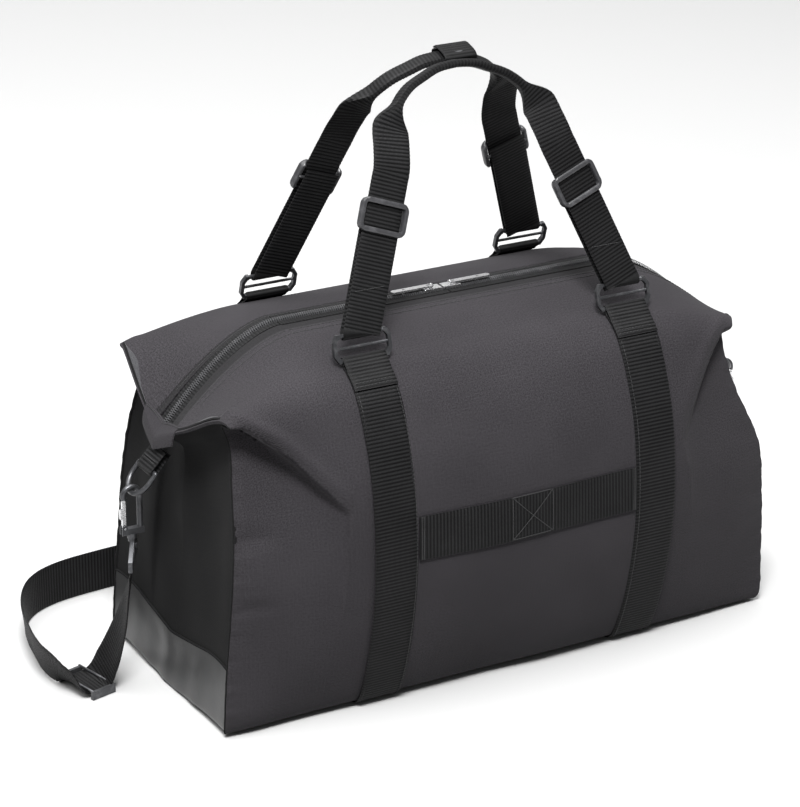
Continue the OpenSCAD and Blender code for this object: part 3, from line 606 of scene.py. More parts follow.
def add_stitches(piece, path, normal, slot, pitch=3.2, length=2.3, radius=0.32):
    """A row of short raised stitches along a path, each on its own."""
    path, s, normal = resample(path, 0.8, np.broadcast_to(normal, path.shape))
    for at in np.arange(pitch / 2, s[-1] - pitch / 2, pitch):
        ends = []
        for k in (-0.5, 0.0, 0.5):
            d = at + k * length
            crown = 0.05 + (radius * 0.8 if k == 0 else 0)
            ends.append(read_at(d, s, path) + read_at(d, s, normal) * crown)
        add_tube(piece, ends, radius, slot, 6)


# ---------------------------------------------------------------- camera, floor and light

CAMERA_AT = np.array([-1.183, -2.010, 1.159])
AZIMUTH, ELEVATION, ROLL = math.radians(-29.6), math.radians(22.4), 0.0076
LENS = 135.6

camera = bpy.data.objects.new("camera", bpy.data.cameras.new("camera"))
bpy.context.scene.collection.objects.link(camera)
camera.location = CAMERA_AT
back = Vector((
    math.sin(AZIMUTH) * math.cos(ELEVATION), -math.cos(AZIMUTH) * math.cos(ELEVATION), math.sin(ELEVATION),
))
camera.rotation_mode = "QUATERNION"
camera.rotation_quaternion = (-back).to_track_quat("-Z", "Y") @ Quaternion((0, 0, 1), ROLL)
camera.data.lens = LENS
camera.data.sensor_width = 36
camera.data.clip_start, camera.data.clip_end = 0.05, 60
bpy.context.scene.camera = camera

scene = bpy.context.scene
scene.view_settings.view_transform = "Standard"
world = bpy.data.worlds.new("studio")
scene.world = world
world.use_nodes = True
world.node_tree.nodes["Background"].inputs["Color"].default_value = (1, 1, 1, 1)
world.node_tree.nodes["Background"].inputs["Strength"].default_value = 0.24

HALF_FLOOR = 9.0
floor_mesh = bpy.data.meshes.new("floor")
floor_corners = [(x * HALF_FLOOR, y * HALF_FLOOR, 0) for x, y in ((-1, -1), (1, -1), (1, 1), (-1, 1))]
floor_mesh.from_pydata(floor_corners, [], [(0, 1, 2, 3)])
floor = bpy.data.objects.new("floor", floor_mesh)
scene.collection.objects.link(floor)
pale = bpy.data.materials.new("pale_floor")
pale.use_nodes = True
pale_inputs = pale.node_tree.nodes["Principled BSDF"].inputs
pale_inputs["Base Color"].default_value = (0.4, 0.4, 0.4, 1)
pale_inputs["Roughness"].default_value = 0.9
pale_inputs["Specular IOR Level"].default_value = 0.1
floor_mesh.materials.append(pale)


def area_light(name, at, size, power):
    data = bpy.data.lights.new(name, "AREA")
    data.shape, data.size, data.energy = "SQUARE", size, power
    light = bpy.data.objects.new(name, data)
    light.location = at
    light.rotation_mode = "QUATERNION"
    light.rotation_quaternion = (Vector((0, 0, 0.2)) - Vector(at)).to_track_quat("-Z", "Y")
    scene.collection.objects.link(light)


area_light("overhead", (-0.5, 0.3, 3.8), 5.5, 420)
area_light("front", (-0.9, -1.5, 2.9), 0.8, 190)
area_light("left", (-3.0, 0.6, 0.9), 1.2, 5)
area_light("back", (1.2, 4.6, 1.9), 3.0, 16)


# ---------------------------------------------------------------- shoulder strap

HOOK_X = pivot("right_d_ring_hinge")[0] + 23 * math.sin(math.radians(40))
STRAP_LINE = [
    [-HOOK_X - 0.6, 1, 112], [-HOOK_X - 1, 6, 92], [-HOOK_X - 3, 13, 68], [-HOOK_X - 7, 20, 44],
    [-HOOK_X - 13, 26, 22], [-306, 30, 6], [-325, 28, 4], [-336, 34, 10], [-341, 48, 15],
    [-341, 68, 17], [-337, 92, 18], [-331, 119, 19], [-321, 145, 19.3], [-306, 165, 19.4],
    [-284, 178, 19.4], [-250, 185, 19.4], [-180, 189, 19.4], [-90, 191, 19.4], [0, 192, 19.4],
    [90, 191, 19.4], [180, 188, 19.4], [240, 180, 19.4], [280, 160, 20], [303, 128, 24],
    [309, 92, 34], [303, 56, 54], [292, 22, 82], [HOOK_X + 0.6, 1, 112],
]
STRAP_SIDE = [
    [-0.5, -0.87, 0], [-0.45, -0.9, 0], [-0.3, -0.95, 0], [-0.15, -0.98, 0], [0, -1, 0],
    [0.1, -1, 0], [0.35, -0.93, 0], [0.05, -0.88, 0.47], [-0.2, -0.63, 0.75], [-0.26, -0.39, 0.88],
    [-0.24, -0.19, 0.95], [-0.16, -0.05, 0.98], [-0.05, 0, 1], [0, 0, 1], [0, 0, 1], [0, 0, 1],
    [0, 0, 1], [0, 0, 1], [0, 0, 1], [0, 0, 1], [0, 0, 1], [0, 0, 1], [0, 0.05, 1], [0, 0.15, 0.98],
    [-0.05, 0.4, 0.9], [-0.15, 0.7, 0.7], [-0.35, 0.88, 0.3], [-0.5, 0.87, 0],
]


def make_shoulder_strap():
    t = np.linspace(0, 1, 600)
    path, _, side = resample(along(STRAP_LINE, t), RIB / 5, along(STRAP_SIDE, t))
    for _ in range(3):
        tangent = unit(np.gradient(path, axis=0))
        side = unit(side - tangent * np.sum(side * tangent, 1, keepdims=True))
        low = path[:, 2] - np.abs(side[:, 2]) * STRAP_W / 2
        lift = np.maximum(0, 1.6 - low)
        # the lift is spread over its neighbours, so that the edge stays smooth
        path[:, 2] += np.convolve(np.pad(lift, 12, "edge"), np.ones(25) / 25, "valid")
    path[:, 2] += max(0, 1.2 - (path[:, 2] - np.abs(side[:, 2]) * STRAP_W / 2).min())
    piece = Piece("shoulder_webbing", WEBBING)
    add_ribbon(piece, path, side, STRAP_W / 2, PLY / 2)
    obj = piece.build("bag")
    stands_for(obj, "webbing", "shoulder_strap")


make_shoulder_strap()


# ---------------------------------------------------------------- cloth of the body

def arc_grid(us, vs):
    """Texture places in millimetres for a patch, from arc lengths of the plain surface."""
    rows = np.linspace(0, 1, 40)
    return base_skin(us, vs)[..., 0], np.interp(vs, rows, arc_length(base_skin(0 * rows, rows)))


def add_patch(piece, us, vs, rear):
    """Cloth over a grid of u and v. The strip next to the zip is a facing of its own, with material 3."""
    normals = cloth_normal(us, vs, rear)
    outer = skin(us, vs, rear)
    inner = skin(us, vs, rear, -WALL)
    gu, gv = arc_grid(us, vs)
    first = len(piece.slots)
    add_shell(piece, outer, inner, gu, gv, flip=rear, normals=normals)
    facing = (vs[:-1, :-1] > FACING_V[rear]).reshape(-1)
    piece.slots[first] = np.where(facing, 3, 0)


def rows_to(v0, v1, gap):
    """Rows between two v, about gap millimetres apart, with extra ones where the hem steps."""
    base_to_zip = 420
    rows = np.linspace(v0, v1, max(int((v1 - v0) * base_to_zip / gap), 2) + 1)
    extra = [v for v in (0.934, 0.936, 0.938, 0.940, 0.949, 0.951, 0.953) if v0 < v < v1]
    return np.unique(np.concatenate([rows, extra]))


def patch_between(piece, x0, x1, v0, v1, rear, gap=3.0):
    """Cloth between two x, where None stands for the end of the bag."""
    vs = rows_to(v0, v1, gap)[:, None]
    lo = -np.ones_like(vs) if x0 is None else u_at(x0, vs)
    hi = np.ones_like(vs) if x1 is None else u_at(x1, vs)
    width = (hi - lo).max() * HALF_LENGTH
    k = np.linspace(0, 1, max(int(width / gap), 2) + 1)[None, :]
    us = lerp(lo, hi, k)
    add_patch(piece, us, np.broadcast_to(vs, us.shape), rear)


def stitch_cloth(piece, xs, vs, rear, slot=2, out=0.0, pitch=3.2):
    """Stitches through the places at xs on rows vs, standing out from the cloth."""
    us = u_at(xs, vs)
    add_stitches(piece, skin(us, vs, rear, out), cloth_normal(us, vs, rear), slot, pitch)


def bend_with_flap(obj):
    """Bakes the object's placement into its mesh."""
    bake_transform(obj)


STITCH_ROWS = {False: (0.9315, 0.916), True: (0.958,)}
STITCH_END_X = 238

for rear, half in HALVES:
    panel = Piece(f"{half}_cloth", FABRIC, LINING, THREAD)
    patch_between(panel, None, None, 0, FOLD_V, rear, 3.0 if rear else 2.2)
    stands_for(panel.build("bag"), "fabric", f"{half}_panel")
    for side, name in SIDES:
        flap = Piece(f"{half}_mouth_cloth_{name}", FABRIC, LINING, THREAD, FACING)
        x0, x1 = (-FLAP_X, 0) if side < 0 else (0, FLAP_X)
        patch_between(flap, x0, x1, FOLD_V, EDGE_V, rear)
        for v in STITCH_ROWS[rear]:
            stitch_cloth(flap, np.linspace(x0, x1, 60), v, rear)
        obj = flap.build()
        bend_with_flap(obj)
        stands_for(obj, "fabric", f"{half}_mouth_flap")

for side, name in SIDES:
    top = Piece(f"{name}_top_cloth", FABRIC, LINING, THREAD, FACING)
    for rear, half in HALVES:
        x0, x1 = (None, -FLAP_X) if side < 0 else (FLAP_X, None)
        patch_between(top, x0, x1, FOLD_V, EDGE_V, rear)
        xs = np.linspace(x0 or -STITCH_END_X, x1 or STITCH_END_X, 60)
        for v in STITCH_ROWS[rear]:
            stitch_cloth(top, xs, v, rear)
    stands_for(top.build("bag"), "fabric", f"{name}_top_end")


# ---------------------------------------------------------------- end gussets

INSET = WALL - 0.4


def seam_at(side, t):
    p = base_skin(np.full_like(t, side), t * WING_V)
    return p + np.array([-side * 0.9, INSET, 1.0])


def rim_at(side, s):
    f = np.where(s < 0.5, s, 1 - s)
    p = base_skin(np.full_like(s, side), WING_V + (1 - WING_V) * 2 * f)
    y = p[..., 1] + INSET * (1 - 2 * f)
    return np.stack([p[..., 0] - side * 1.6, np.where(s < 0.5, y, -y), p[..., 2] - INSET], -1)


def gusset(side, s, t):
    """End panel: s runs from the front seam to the rear one, t upward."""
    s, t = np.broadcast_arrays(np.asarray(s, float), np.asarray(t, float))
    f = seam_at(side, t)
    b0 = seam_at(side, np.zeros_like(t))
    base = lerp(b0, b0 * MIRROR_Y, s[..., None])
    top = rim_at(side, s)
    top_line = lerp(rim_at(side, np.zeros_like(s)), rim_at(side, np.ones_like(s)), s[..., None])
    corner = lerp(base, top_line, t[..., None])
    p = lerp(f, f * MIRROR_Y, s[..., None]) + lerp(base, top, t[..., None]) - corner
    hollow = 15 * np.sin(math.pi * s) * smooth(t / 0.7) * (1 - smooth((t - 0.86) / 0.14))
    upper = smooth((t - 0.28) / 0.2)
    pleat = -3.2 * (smooth((s - 0.665) / 0.02) - smooth((s - 0.7) / 0.16)) * upper * smooth((0.99 - t) / 0.1)
    slack = upper * smooth((1 - t) / 0.1) * (
        1.5 * np.sin(s * 9 + t * 5 + side) + 0.9 * np.sin(s * 19 - t * 11) + 0.7 * np.sin(s * 6 + t * 27)
    ) * np.sin(math.pi * s)
    low = (1 - upper) * smooth(t / 0.05) * smooth((BAND_T - t) / 0.05) * np.sin(math.pi * s) * (
        0.5 * np.sin(s * 26 + 1.0) * (0.4 + t * 2) + 0.25 * np.sin(s * 47 + t * 8)
    )
    p = p.copy()
    p[..., 0] -= side * (hollow + pleat - slack - low)
    return p


def gusset_normal(side, s, t):
    d = 0.006
    ds = gusset(side, np.minimum(s + d, 1), t) - gusset(side, np.maximum(s - d, 0), t)
    dt = gusset(side, s, np.minimum(t + d, 1)) - gusset(side, s, np.maximum(t - d, 0))
    return unit(np.cross(ds, dt)) * side


def add_gusset(piece, side, t0, t1, lift=0.0, thick=2.0):
    s = np.linspace(0, 1, 78)[None, :]
    t = np.linspace(t0, t1, max(int((t1 - t0) * 270 / 3), 4))[:, None]
    s, t = np.broadcast_arrays(s, t)
    outer, normal = gusset(side, s, t), gusset_normal(side, s, t)
    gu = (s - 0.5) * 2 * HALF_BASE
    gv = t * 260
    inner = outer + normal * (lift - thick)
    add_shell(piece, outer + normal * lift, inner, gu, gv, flip=side < 0, normals=normal)


for side, name in SIDES:
    cloth = Piece(f"{name}_gusset_cloth", GUSSET, LINING)
    add_gusset(cloth, side, BAND_T - 0.01, 1)
    stands_for(cloth.build("bag"), "gusset_fabric", f"{name}_gusset")

    band = Piece(f"{name}_band_cloth", COATED, LINING)
    add_gusset(band, side, 0, BAND_T, 0.7, 1.2)
    stands_for(band.build("bag"), "coated", f"{name}_end_band")

    piping = Piece(f"{name}_seam_piping", GUSSET)
    s = np.linspace(0.004, 0.996, 90)
    t = np.full_like(s, BAND_T + 0.002)
    add_tube(piping, gusset(side, s, t) + gusset_normal(side, s, t) * 0.6, 1.0)
    for rear, half in HALVES:
        v = np.linspace(0.01, WING_V, 90)
        edge = skin(np.full_like(v, side), v, rear)
        edge[:, 0] -= side * 0.4
        edge[:, 1] += (-1 if rear else 1) * 1.5
        add_tube(piping, edge, 1.25)
    piping.build("bag")


# ---------------------------------------------------------------- bottom

def make_bottom():
    """Soft base: a shallow tray that meets the panels all round and rests on its webbing."""
    u = np.linspace(-1, 1, 120)[None, :]
    v = np.linspace(-1, 1, 60)[:, None]
    round_off = (np.abs(u) ** 14 + np.abs(v) ** 10)
    x = u * (HALF_LENGTH - 5.5) + 0 * v
    y = v * (HALF_BASE - 9.5) + 0 * u
    z = 0.7 + 1.6 * np.clip(round_off, 0, 1) + 0.25 * np.sin(x / 31) * np.sin(y / 23)
    outer = np.stack([x, y, z], -1)
    inner = outer + [0, 0, 1.6]
    piece = Piece("bottom_cloth", FABRIC, LINING)
    add_shell(piece, outer, inner, x[0], y[:, 0], flip=True)
    stands_for(piece.build("bag"), "fabric", "bottom_panel")


make_bottom()


# ---------------------------------------------------------------- webbing on the body

def ring_loop(x):
    """Middle of the front strap where it goes under the ring's lower bar and back over it."""
    turn = np.radians(np.linspace(-75, -290, 26))
    ring = np.stack([0 * turn, -np.cos(turn) * LOOP_R, np.sin(turn) * LOOP_R], 1)
    return ring + [x, -RING_Y, RING_Z]


def make_body_strap(side, name):
    piece = Piece(f"{name}_body_webbing", WEBBING, THREAD)
    x = side * STRAP_X
    for rear, half in HALVES:
        vs = np.linspace(0.0, 0.742, 160)
        up = skin(u_at(x, vs), vs, rear, 1.15)
        mirror = MIRROR_Y if rear else 1
        under = np.stack([np.full(6, x), np.linspace(0, -HALF_BASE + 14, 6), np.full(6, 0.85)], 1) * mirror
        loop = ring_loop(x) * mirror
        tail_v = np.linspace(0.735, 0.655, 16)
        lift = 2.9 + 2.4 * smooth((tail_v - 0.70) / 0.035)
        tail = skin(u_at(x, tail_v), tail_v, rear, lift)
        path = resample(np.concatenate([under, up, loop, tail]), 0.5)[0]
        for _ in range(8):
            path[1:-1] = (path[:-2] + 2 * path[1:-1] + path[2:]) / 4
        path = resample(path, RIB / 5)[0]
        add_ribbon(piece, path, -ALONG_X if rear else ALONG_X, STRAP_W / 2, PLY / 2, 0.4)
        # rows of stitches that close the folded end
        for v in (0.664, 0.674):
            xs = np.linspace(x - STRAP_W / 2 + 2, x + STRAP_W / 2 - 2, 12)
            stitch_cloth(piece, xs, v, rear, 1, 3.85)
        for edge in (-1, 1):
            stitch_cloth(
                piece, x + edge * (STRAP_W / 2 - 2.2), np.linspace(0.03, 0.65, 120), rear, 1, 2.1, 3.6,
            )
    stands_for(piece.build("bag"), "webbing", f"{name}_body_strap", "strap_loops")


for side, name in SIDES:
    make_body_strap(side, name)


def make_cross_webbing():
    piece = Piece("cross_webbing", WEBBING, THREAD)
    v_low, v_high = 0.358, 0.438
    reach = STRAP_X - STRAP_W / 2 - 0.4
    xs = np.linspace(-reach, reach, 120)
    v_mid = (v_low + v_high) / 2
    us = u_at(xs, v_mid)
    path, high, low = (skin(us, v, False, 1.15) for v in (v_mid, v_mid + 0.04, v_mid - 0.04))
    path, _, side = resample(path, RIB / 5, unit(low - high))
    add_ribbon(piece, path, side, STRAP_W / 2 - 0.5, PLY / 2, 0.26)

    def on(x, k):
        """Point and normal on the webbing, k from -1 at its lower edge to 1 at its upper."""
        x, k = np.broadcast_arrays(np.asarray(x, float), np.asarray(k, float))
        v = v_mid + k * (v_high - v_low) / 2
        u = u_at(x, v)
        return skin(u, v, False, 2.15), cloth_normal(u, v, False)

    half, k = 19.0, 0.84
    ends = np.linspace(-1, 1, 30)
    for xa, xb, ka, kb in (
        (-half, half, k, k), (-half, half, -k, -k), (-half, -half, -k, k), (half, half, -k, k),
        (-half, half, k, -k), (-half, half, -k, k),
    ):
        p, n = on(lerp(xa, xb, (ends + 1) / 2), lerp(ka, kb, (ends + 1) / 2))
        add_stitches(piece, p, n, 1, 2.6, 1.9, 0.36)
    for x in (-reach + 2, -reach + 3.4, reach - 2, reach - 3.4):
        p, n = on(np.full(30, x), ends * 0.88)
        add_stitches(piece, p, n, 1, 1.8, 1.5, 0.4)
    stands_for(piece.build("bag"), "webbing", "front_cross_webbing")


make_cross_webbing()


# ---------------------------------------------------------------- handles

def in_ring_frame(p, rear=False, up=0.0):
    """Moves points from a ring's leaning frame, origin on its lower bar, to the bag's frame."""
    p = np.asarray(p, float)
    y = p[..., 1] * math.cos(LEAN) + (p[..., 2] + up) * math.sin(LEAN)
    z = -p[..., 1] * math.sin(LEAN) + (p[..., 2] + up) * math.cos(LEAN)
    out = np.stack([p[..., 0], y - RING_Y, z + RING_Z], -1)
    return out * MIRROR_Y if rear else out


def turn_from_ring(way, rear):
    """The same for a direction."""
    return in_ring_frame(way, rear) - in_ring_frame(np.zeros(3), rear)


HALF_LINE = [[STRAP_X - LEG_SLOPE * z, z] for z in (0, 28, 56, 84, 112, 122)] + [
    [STRAP_X - 49.5, 139], [STRAP_X - 53.5, 154], [STRAP_X - 63, 169],
    [STRAP_X - 76, HANDLE_H - 14], [STRAP_X - 92, HANDLE_H - 6.5],
    [STRAP_X - 105, HANDLE_H - 1.7], [0, HANDLE_H],
]


def make_handle(rear, name):
    piece = Piece(f"{name}_handle_webbing", WEBBING, THREAD)
    k = np.linspace(0, 1, 220)
    line = along(HALF_LINE, k)
    front_y = -LOOP_R * (1 - smooth((line[:, 1] - 120) / 45))
    front_y = front_y + GRIP_IN * smooth((line[:, 1] - LEG_TOP) / (HANDLE_H - LEG_TOP))
    front = np.stack([-line[:, 0], front_y, line[:, 1]], 1)
    zs = np.linspace(BUCKLE_S + 8, 0, 60)
    back_ply = np.stack([-(STRAP_X - LEG_SLOPE * zs), np.full_like(zs, LOOP_R), zs], 1)
    turn = np.linspace(0, math.pi, 20)[1:-1]
    loop = np.stack([np.full_like(turn, -STRAP_X), LOOP_R * np.cos(turn), -LOOP_R * np.sin(turn)], 1)
    left = np.concatenate([back_ply, loop, front])
    right = (left * MIRROR_X)[::-1]
    path = np.concatenate([left, right[1:]])
    tangent = unit(np.gradient(path, axis=0))
    square = unit(np.stack([tangent[:, 2], np.zeros(len(path)), -tangent[:, 0]], 1))
    # the width lies level at the bar and square to the webbing above it, and turns over with the second leg
    heading = np.where(np.arange(len(path)) < len(path) / 2, 1.0, -1.0)[:, None]
    level = ALONG_X * heading
    on_leg = np.where(np.sum(square * level, 1, keepdims=True) < 0, -square, square)
    side = unit(lerp(level, on_leg, smooth(path[:, 2:3] / 30)))
    side = unit(lerp(side, square, smooth((path[:, 2:3] - 150) / 25)))
    flat = 1 - smooth((path[:, 2] - 152) / 20)
    half_w, half_t = lerp(3.5, HANDLE_W / 2, flat), lerp(7.3, PLY / 2, flat)
    path, _, side, half_w, half_t, flat = resample(path, RIB / 5, side, half_w, half_t, flat)
    width_way = turn_from_ring(side, rear)
    add_ribbon(piece, in_ring_frame(path, rear, RING_H), width_way, half_w, half_t, 0.42, (1 - flat) * 0.8)
    # a row of stitches on each leg, a little above its ring
    row_z = 33
    xs = np.linspace(-HANDLE_W / 2 + 2, HANDLE_W / 2 - 2, 12)
    for leg in (-1, 1):
        row_x = leg * (STRAP_X - LEG_SLOPE * row_z) + xs
        row = np.stack([row_x, np.full(12, -LOOP_R - 0.9), np.full(12, row_z)], 1)
        row = in_ring_frame(row, rear, RING_H)
        add_stitches(piece, row, turn_from_ring(-ALONG_Y, rear), 1, 2.6, 1.9, 0.3)
    body = f"{name}_handle"
    stands_for(piece.build(body), "webbing", body, f"{body}_loops")


for rear, half in HALVES:
    make_handle(rear, half)


def add_frame(piece, place, width, height, corner, bar, shape):
    """Rounded rectangle of moulded bar, its outline in x and z. shape gives the bar's middle and half depth
    in y for each point of the outline."""
    half = np.array([width - bar, height - bar]) / 2 - corner
    turn = np.linspace(0, 2 * math.pi, 65)[:-1]
    ways = np.stack([np.cos(turn), np.sin(turn)], 1)
    centre = np.sign(np.round(ways, 6)) * half + ways * corner
    straight = np.linspace(0, 1, 5)[1:-1]
    path, out = [], []
    for i in range(64):
        path.append(centre[i])
        out.append(ways[i])
        j = (i + 1) % 64
        if np.linalg.norm(centre[j] - centre[i]) > corner:
            for f in straight:
                path.append(lerp(centre[i], centre[j], f))
                out.append(lerp(ways[i], ways[j], f))
    path, out = np.array(path), unit(np.array(out))
    middle, depth = shape(path)
    a = np.linspace(0, 2 * math.pi, 13)[:-1]
    ca = np.sign(np.cos(a)) * np.abs(np.cos(a)) ** 0.7
    sa = np.sign(np.sin(a)) * np.abs(np.sin(a)) ** 0.7
    flat = path[:, None] + out[:, None] * (ca * bar / 2)[None, :, None]
    y = middle[:, None] + depth[:, None] * sa[None]
    points = np.stack([flat[..., 0], y, flat[..., 1]], -1)
    points = np.concatenate([points, points[:1]])
    n = len(points)
    us, vs = np.meshgrid(np.arange(13) * bar / 4, np.arange(n) * 2.0)
    quads = grid_quads(n, 12, wrap=True)
    last = (n - 1) * 12
    quads = np.where(quads >= last, quads - last, quads)
    piece.add(place(points[:-1]), quads, grid_uvs(us, vs))


def make_buckle(rear, side, name):
    lean = -side * math.atan(LEG_SLOPE)

    def place(p):
        p = np.asarray(p, float)
        x = p[..., 0] * math.cos(lean) + p[..., 2] * math.sin(lean) + side * (STRAP_X - LEG_SLOPE * BUCKLE_S)
        z = -p[..., 0] * math.sin(lean) + p[..., 2] * math.cos(lean)
        return in_ring_frame(np.stack([x, p[..., 1], z], -1), rear, RING_H + BUCKLE_S)

    def shape(path):
        rail = smooth((np.abs(path[:, 0]) - 15) / 3)
        return lerp(-5.35, -3.0, rail), lerp(1.35, 3.4, rail)

    piece = Piece(f"{name}_moulding", PLASTIC)
    add_frame(piece, place, 42, 27, 4.2, 4.2, shape)
    add_tube(piece, place([[x, 0, 0] for x in np.linspace(-18, 18, 12)]), 1.3)
    stands_for(piece.build(name), "plastic", name)


for rear, half in HALVES:
    for side, name in SIDES:
        make_buckle(rear, side, f"{half}_{name}_buckle")


def make_wrap():
    """Webbing sleeve round the rear grip and the flap that closes it."""
    x_mid = 12.0
    z_mid = HANDLE_H - 0.5
    y_half, z_half = 8.7, 4.9
    squareness = 0.55

    def around(a0, a1, grow):
        a = np.radians(np.linspace(a0, a1, 80))
        y = (y_half + grow) * np.sign(np.cos(a)) * np.abs(np.cos(a)) ** squareness
        z = (z_half + grow) * np.sign(np.sin(a)) * np.abs(np.sin(a)) ** squareness
        return np.stack([np.full_like(a, x_mid), y + GRIP_IN, z + z_mid], 1)

    for name, a0, a1, grow, width, body, node in (
        ("grip_sleeve", 150, 390, 0.2, 16.0, "rear_handle", "grip_wrap"),
        ("grip_flap", 20, 158, 1.9, 14.5, "wrap_flap", "wrap_flap"),
    ):
        path = resample(around(a0, a1, grow), RIB / 5)[0]
        piece = Piece(name, WEBBING, THREAD)
        add_ribbon(piece, in_ring_frame(path, True, RING_H), ALONG_X, width, 0.8, 0.2)
        stands_for(piece.build(body), "webbing", node)


make_wrap()


# ---------------------------------------------------------------- zips

TOOTH = ((3.3, -0.5, 0.0), (2.6, 0.7, 0.0), (0.9, 0.9, 0.05), (0.1, 0.2, 0.1))


def zip_teeth(piece, path, side, phase):
    """Coil loops of a nylon zip, each reaching from the tape to the middle. TOOTH says how far across, up and
    along the path the points of one lie."""
    path, s = resample(path, 0.5)[:2]
    tangent = unit(np.gradient(path, axis=0))
    for d in np.arange(phase * COIL_PITCH, s[-1], COIL_PITCH):
        p, way = read_at(d, s, path), unit(read_at(d, s, tangent))
        up = np.cross(way, ALONG_Y)
        up = up if up[2] > 0 else -up
        add_tube(piece, [p + ALONG_Y * (side * y) + up * z + way * x for y, z, x in TOOTH], 0.62, 0, 6)


def zip_line(x):
    """Middle of the closed zip beyond the flaps."""
    p = base_skin(u_at(x, 1.0), 1.0)
    return np.stack([p[:, 0], np.zeros_like(x), p[:, 2]], 1)


for rear, half in HALVES:
    across = 1 if rear else -1
    for side, name in SIDES:
        piece = Piece(f"{half}_zip_{name}", NYLON, TAPE)
        xs = np.linspace(0.5, FLAP_X - 0.3, 60) * side
        line = np.stack([xs, np.zeros_like(xs), np.full_like(xs, ZIP_Z - 0.2)], 1)
        zip_teeth(piece, line, across, 0.5 if rear else 0.0)
        tape = line + [0, across * 6.6, -0.9]
        add_ribbon(piece, tape, ALONG_Y, 4.1, 0.4, 0.0, slot=1)
        obj = piece.build()
        bend_with_flap(obj)
        stands_for(obj, "zip", f"{half}_zip_half")

for side, name in SIDES:
    piece = Piece(f"{name}_closed_zip", NYLON, TAPE)
    xs = np.linspace(FLAP_X + 0.3, HALF_LENGTH - 3, 70) * side
    line = zip_line(xs) + [0, 0, -0.4]
    zip_teeth(piece, line, -1, 0.0)
    zip_teeth(piece, line, 1, 0.5)
    add_ribbon(piece, line + [0, 0, -0.8], ALONG_Y, 9.6, 0.4, 0.0, slot=1)
    stands_for(piece.build("bag"), "zip", f"{name}_zip_end")


# ---------------------------------------------------------------- end tabs

def make_end_tab(side, name):
    """Folded cloth over the end of the zip, and the webbing tab that holds the D-ring."""
    piece = Piece(f"{name}_zip_tab", FABRIC, LINING, THREAD)
    across = np.linspace(-1, 1, 41)[None, :]
    down = np.linspace(0, 1, 26)[:, None]
    u_in = 0.968 + 0.02 * across**2
    u = side * lerp(u_in, 1.0, np.minimum(down / 0.72, 1)) + 0 * across
    v = 1 - np.abs(across) * lerp(0.078, 0.07, down)
    p = base_skin(u, v)
    n = skin_normal(u, v)
    mirror = np.where(across > 0, -1.0, 1.0) + 0 * down
    p[..., 1] *= mirror
    n[..., 1] *= mirror
    over = np.clip((down - 0.72) / 0.28, 0, 1) + 0 * across
    n = unit(n + np.stack([side * over * 2.2, 0 * over, -over * 0.6], -1))
    rise = (1.3 - 0.8 * np.abs(across) ** 6) * smooth(down / 0.06 + 0.35)
    p = p + n * rise[..., None]
    p[..., 0] += side * 2.0 * np.sin(over * math.pi / 2)
    p[..., 2] -= 11.0 * over**1.3
    outer, inner = p, p - n * 1.3
    add_shell(piece, outer, inner, across[0] * 24, down[:, 0] * 40, flip=side < 0, slots=(0, 0))
    add_stitches(piece, outer[3], n[3], 2, 2.8, 2.0)
    stands_for(piece.build("bag"), "fabric", f"{name}_end_tab")

    bar = pivot(f"{name}_d_ring_hinge")
    tilt = math.radians(40)
    way = np.array([-side * math.sin(tilt), 0, math.cos(tilt)])
    out = np.array([side * math.cos(tilt), 0, math.sin(tilt)])
    r = 2 + 0.15 + PLY / 2
    turn = np.radians(np.linspace(0, 180, 24))
    loop = bar + r * (np.cos(turn)[:, None] * out - np.sin(turn)[:, None] * way)
    reach = 19.0
    start = loop[0] + way * reach - out * 1.2
    end = loop[-1] + way * reach
    path = np.concatenate([np.linspace(start, loop[0], 14)[:-1], loop, np.linspace(loop[-1], end, 14)[1:]])
    path = resample(path, RIB / 5)[0]
    piece = Piece(f"{name}_ring_webbing", WEBBING, THREAD)
    add_ribbon(piece, path, ALONG_Y, 12.5, PLY / 2, 0.28)
    ys = np.linspace(-10, 10, 12)
    for k in (6.0, 8.0):
        row = loop[0] + way * k + out * (0.95 - k * 0.06) + np.stack([0 * ys, ys, 0 * ys], 1)
        add_stitches(piece, row, out, 1, 2.4, 1.7, 0.33)
    stands_for(piece.build("bag"), "webbing", f"{name}_ring_tab")


for side, name in SIDES:
    make_end_tab(side, name)


# ---------------------------------------------------------------- pocket on the right end

POCKET_S, POCKET_T0, POCKET_T1 = 0.4, 0.06, 0.74


def pocket_half(k):
    return POCKET_S * np.where(k < 0.55, 1, np.sqrt(np.maximum(0, 1 - ((k - 0.55) / 0.46) ** 2)))


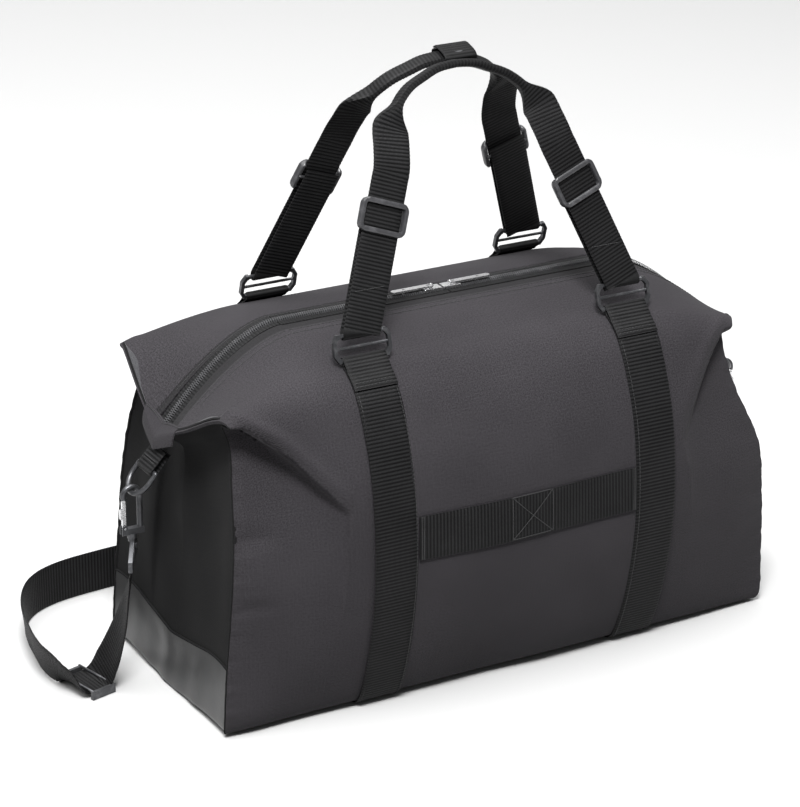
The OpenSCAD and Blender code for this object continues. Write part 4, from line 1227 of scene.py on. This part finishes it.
def make_pocket():
    k = np.concatenate([np.linspace(0.02, 0.55, 40), np.linspace(0.56, 0.985, 40)])[:, None]
    p = np.linspace(-0.95, 0.95, 60)[None, :]
    s = 0.5 + p * pocket_half(k)
    t = lerp(POCKET_T0, POCKET_T1, k) + 0 * p
    dome = 13.5 * (1 - p * p) * (1 - (2 * k - 1) ** 4)
    dome = dome + 0.7 * np.sin(p * 7 + k * 9) * (1 - p * p)
    base, n = gusset(1, s, t), gusset_normal(1, s, t)
    outer = base + n * (2.6 + dome)[..., None]
    inner = base + n * (0.9 + dome * 0.94)[..., None]
    outer[..., 2], inner[..., 2] = np.maximum(outer[..., 2], 0.6), np.maximum(inner[..., 2], 0.6)
    piece = Piece("pocket_cloth", GUSSET, LINING, THREAD)
    add_shell(piece, outer, inner, (s - 0.5) * 210, t * 260)
    stands_for(piece.build("bag"), "gusset_fabric", "right_pocket_panel")

    a = np.linspace(-0.97, 0.97, 260)
    side_k = 0.539 * (1 - np.abs(a)) / 0.5
    straight = np.abs(a) > 0.5
    s = 0.5 + np.where(straight, np.sign(a) * POCKET_S, POCKET_S * np.sin(math.pi * a))
    kk = np.where(straight, side_k, 0.539 + 0.46 * np.cos(math.pi * a))
    t = lerp(POCKET_T0, POCKET_T1, kk)
    n = gusset_normal(1, s, t)
    path = gusset(1, s, t) + n * 2.0
    tangent = unit(np.gradient(path, axis=0))
    wide = unit(np.cross(n, tangent))
    piece = Piece("pocket_coil", NYLON, TAPE)
    path, at, wide, n = resample(path, 0.6, wide, n)
    add_ribbon(piece, path - n * 0.4, wide, 3.4, 0.4, 0.0, slot=1)
    for d in np.arange(1, at[-1] - 1, COIL_PITCH):
        p, w, up = (read_at(d, at, q) for q in (path, wide, n))
        add_tube(piece, [p - w * 1.8, p + up * 0.55, p + w * 1.8], 0.5, 0, 6)
    stands_for(piece.build("bag"), "zip", "right_pocket_zip")


make_pocket()


# ---------------------------------------------------------------- hard CAD nodes

def finish_node(name, material, width=0.0):
    """Gives a CAD node its material, and eases its sharp edges by width millimetres."""
    obj = frame["nodes"][name]
    obj.data.materials.clear()
    obj.data.materials.append(material)
    if width:
        weld = obj.modifiers.new("weld", "WELD")
        weld.merge_threshold = 2e-6
        bevel = obj.modifiers.new("bevel", "BEVEL")
        bevel.width, bevel.segments = width * MM, 2
        bevel.limit_method, bevel.angle_limit = "ANGLE", math.radians(38)


for name, material, width in (
    ("base_board", PLASTIC, 0.3), ("front_rings", SATIN, 0.45), ("rear_rings", SATIN, 0.45),
    ("strap_buckle", SATIN, 0.4), ("press_stud", SATIN, 0.15),
    ("left_d_ring", SATIN, 0), ("right_d_ring", SATIN, 0),
    ("left_hook", SATIN, 0.3), ("right_hook", SATIN, 0.3),
    ("left_hook_gate", STEEL, 0.25), ("right_hook_gate", STEEL, 0.25),
    ("left_eye", SATIN, 0.3), ("right_eye", SATIN, 0.3),
    ("left_zip_slider", STEEL, 0.25), ("right_zip_slider", STEEL, 0.25),
    ("left_zip_pull", STEEL, 0.3), ("right_zip_pull", STEEL, 0.3),
    ("right_pocket_slider", STEEL, 0.25), ("right_pocket_pull", STEEL, 0.3),
):
    finish_node(name, material, width)
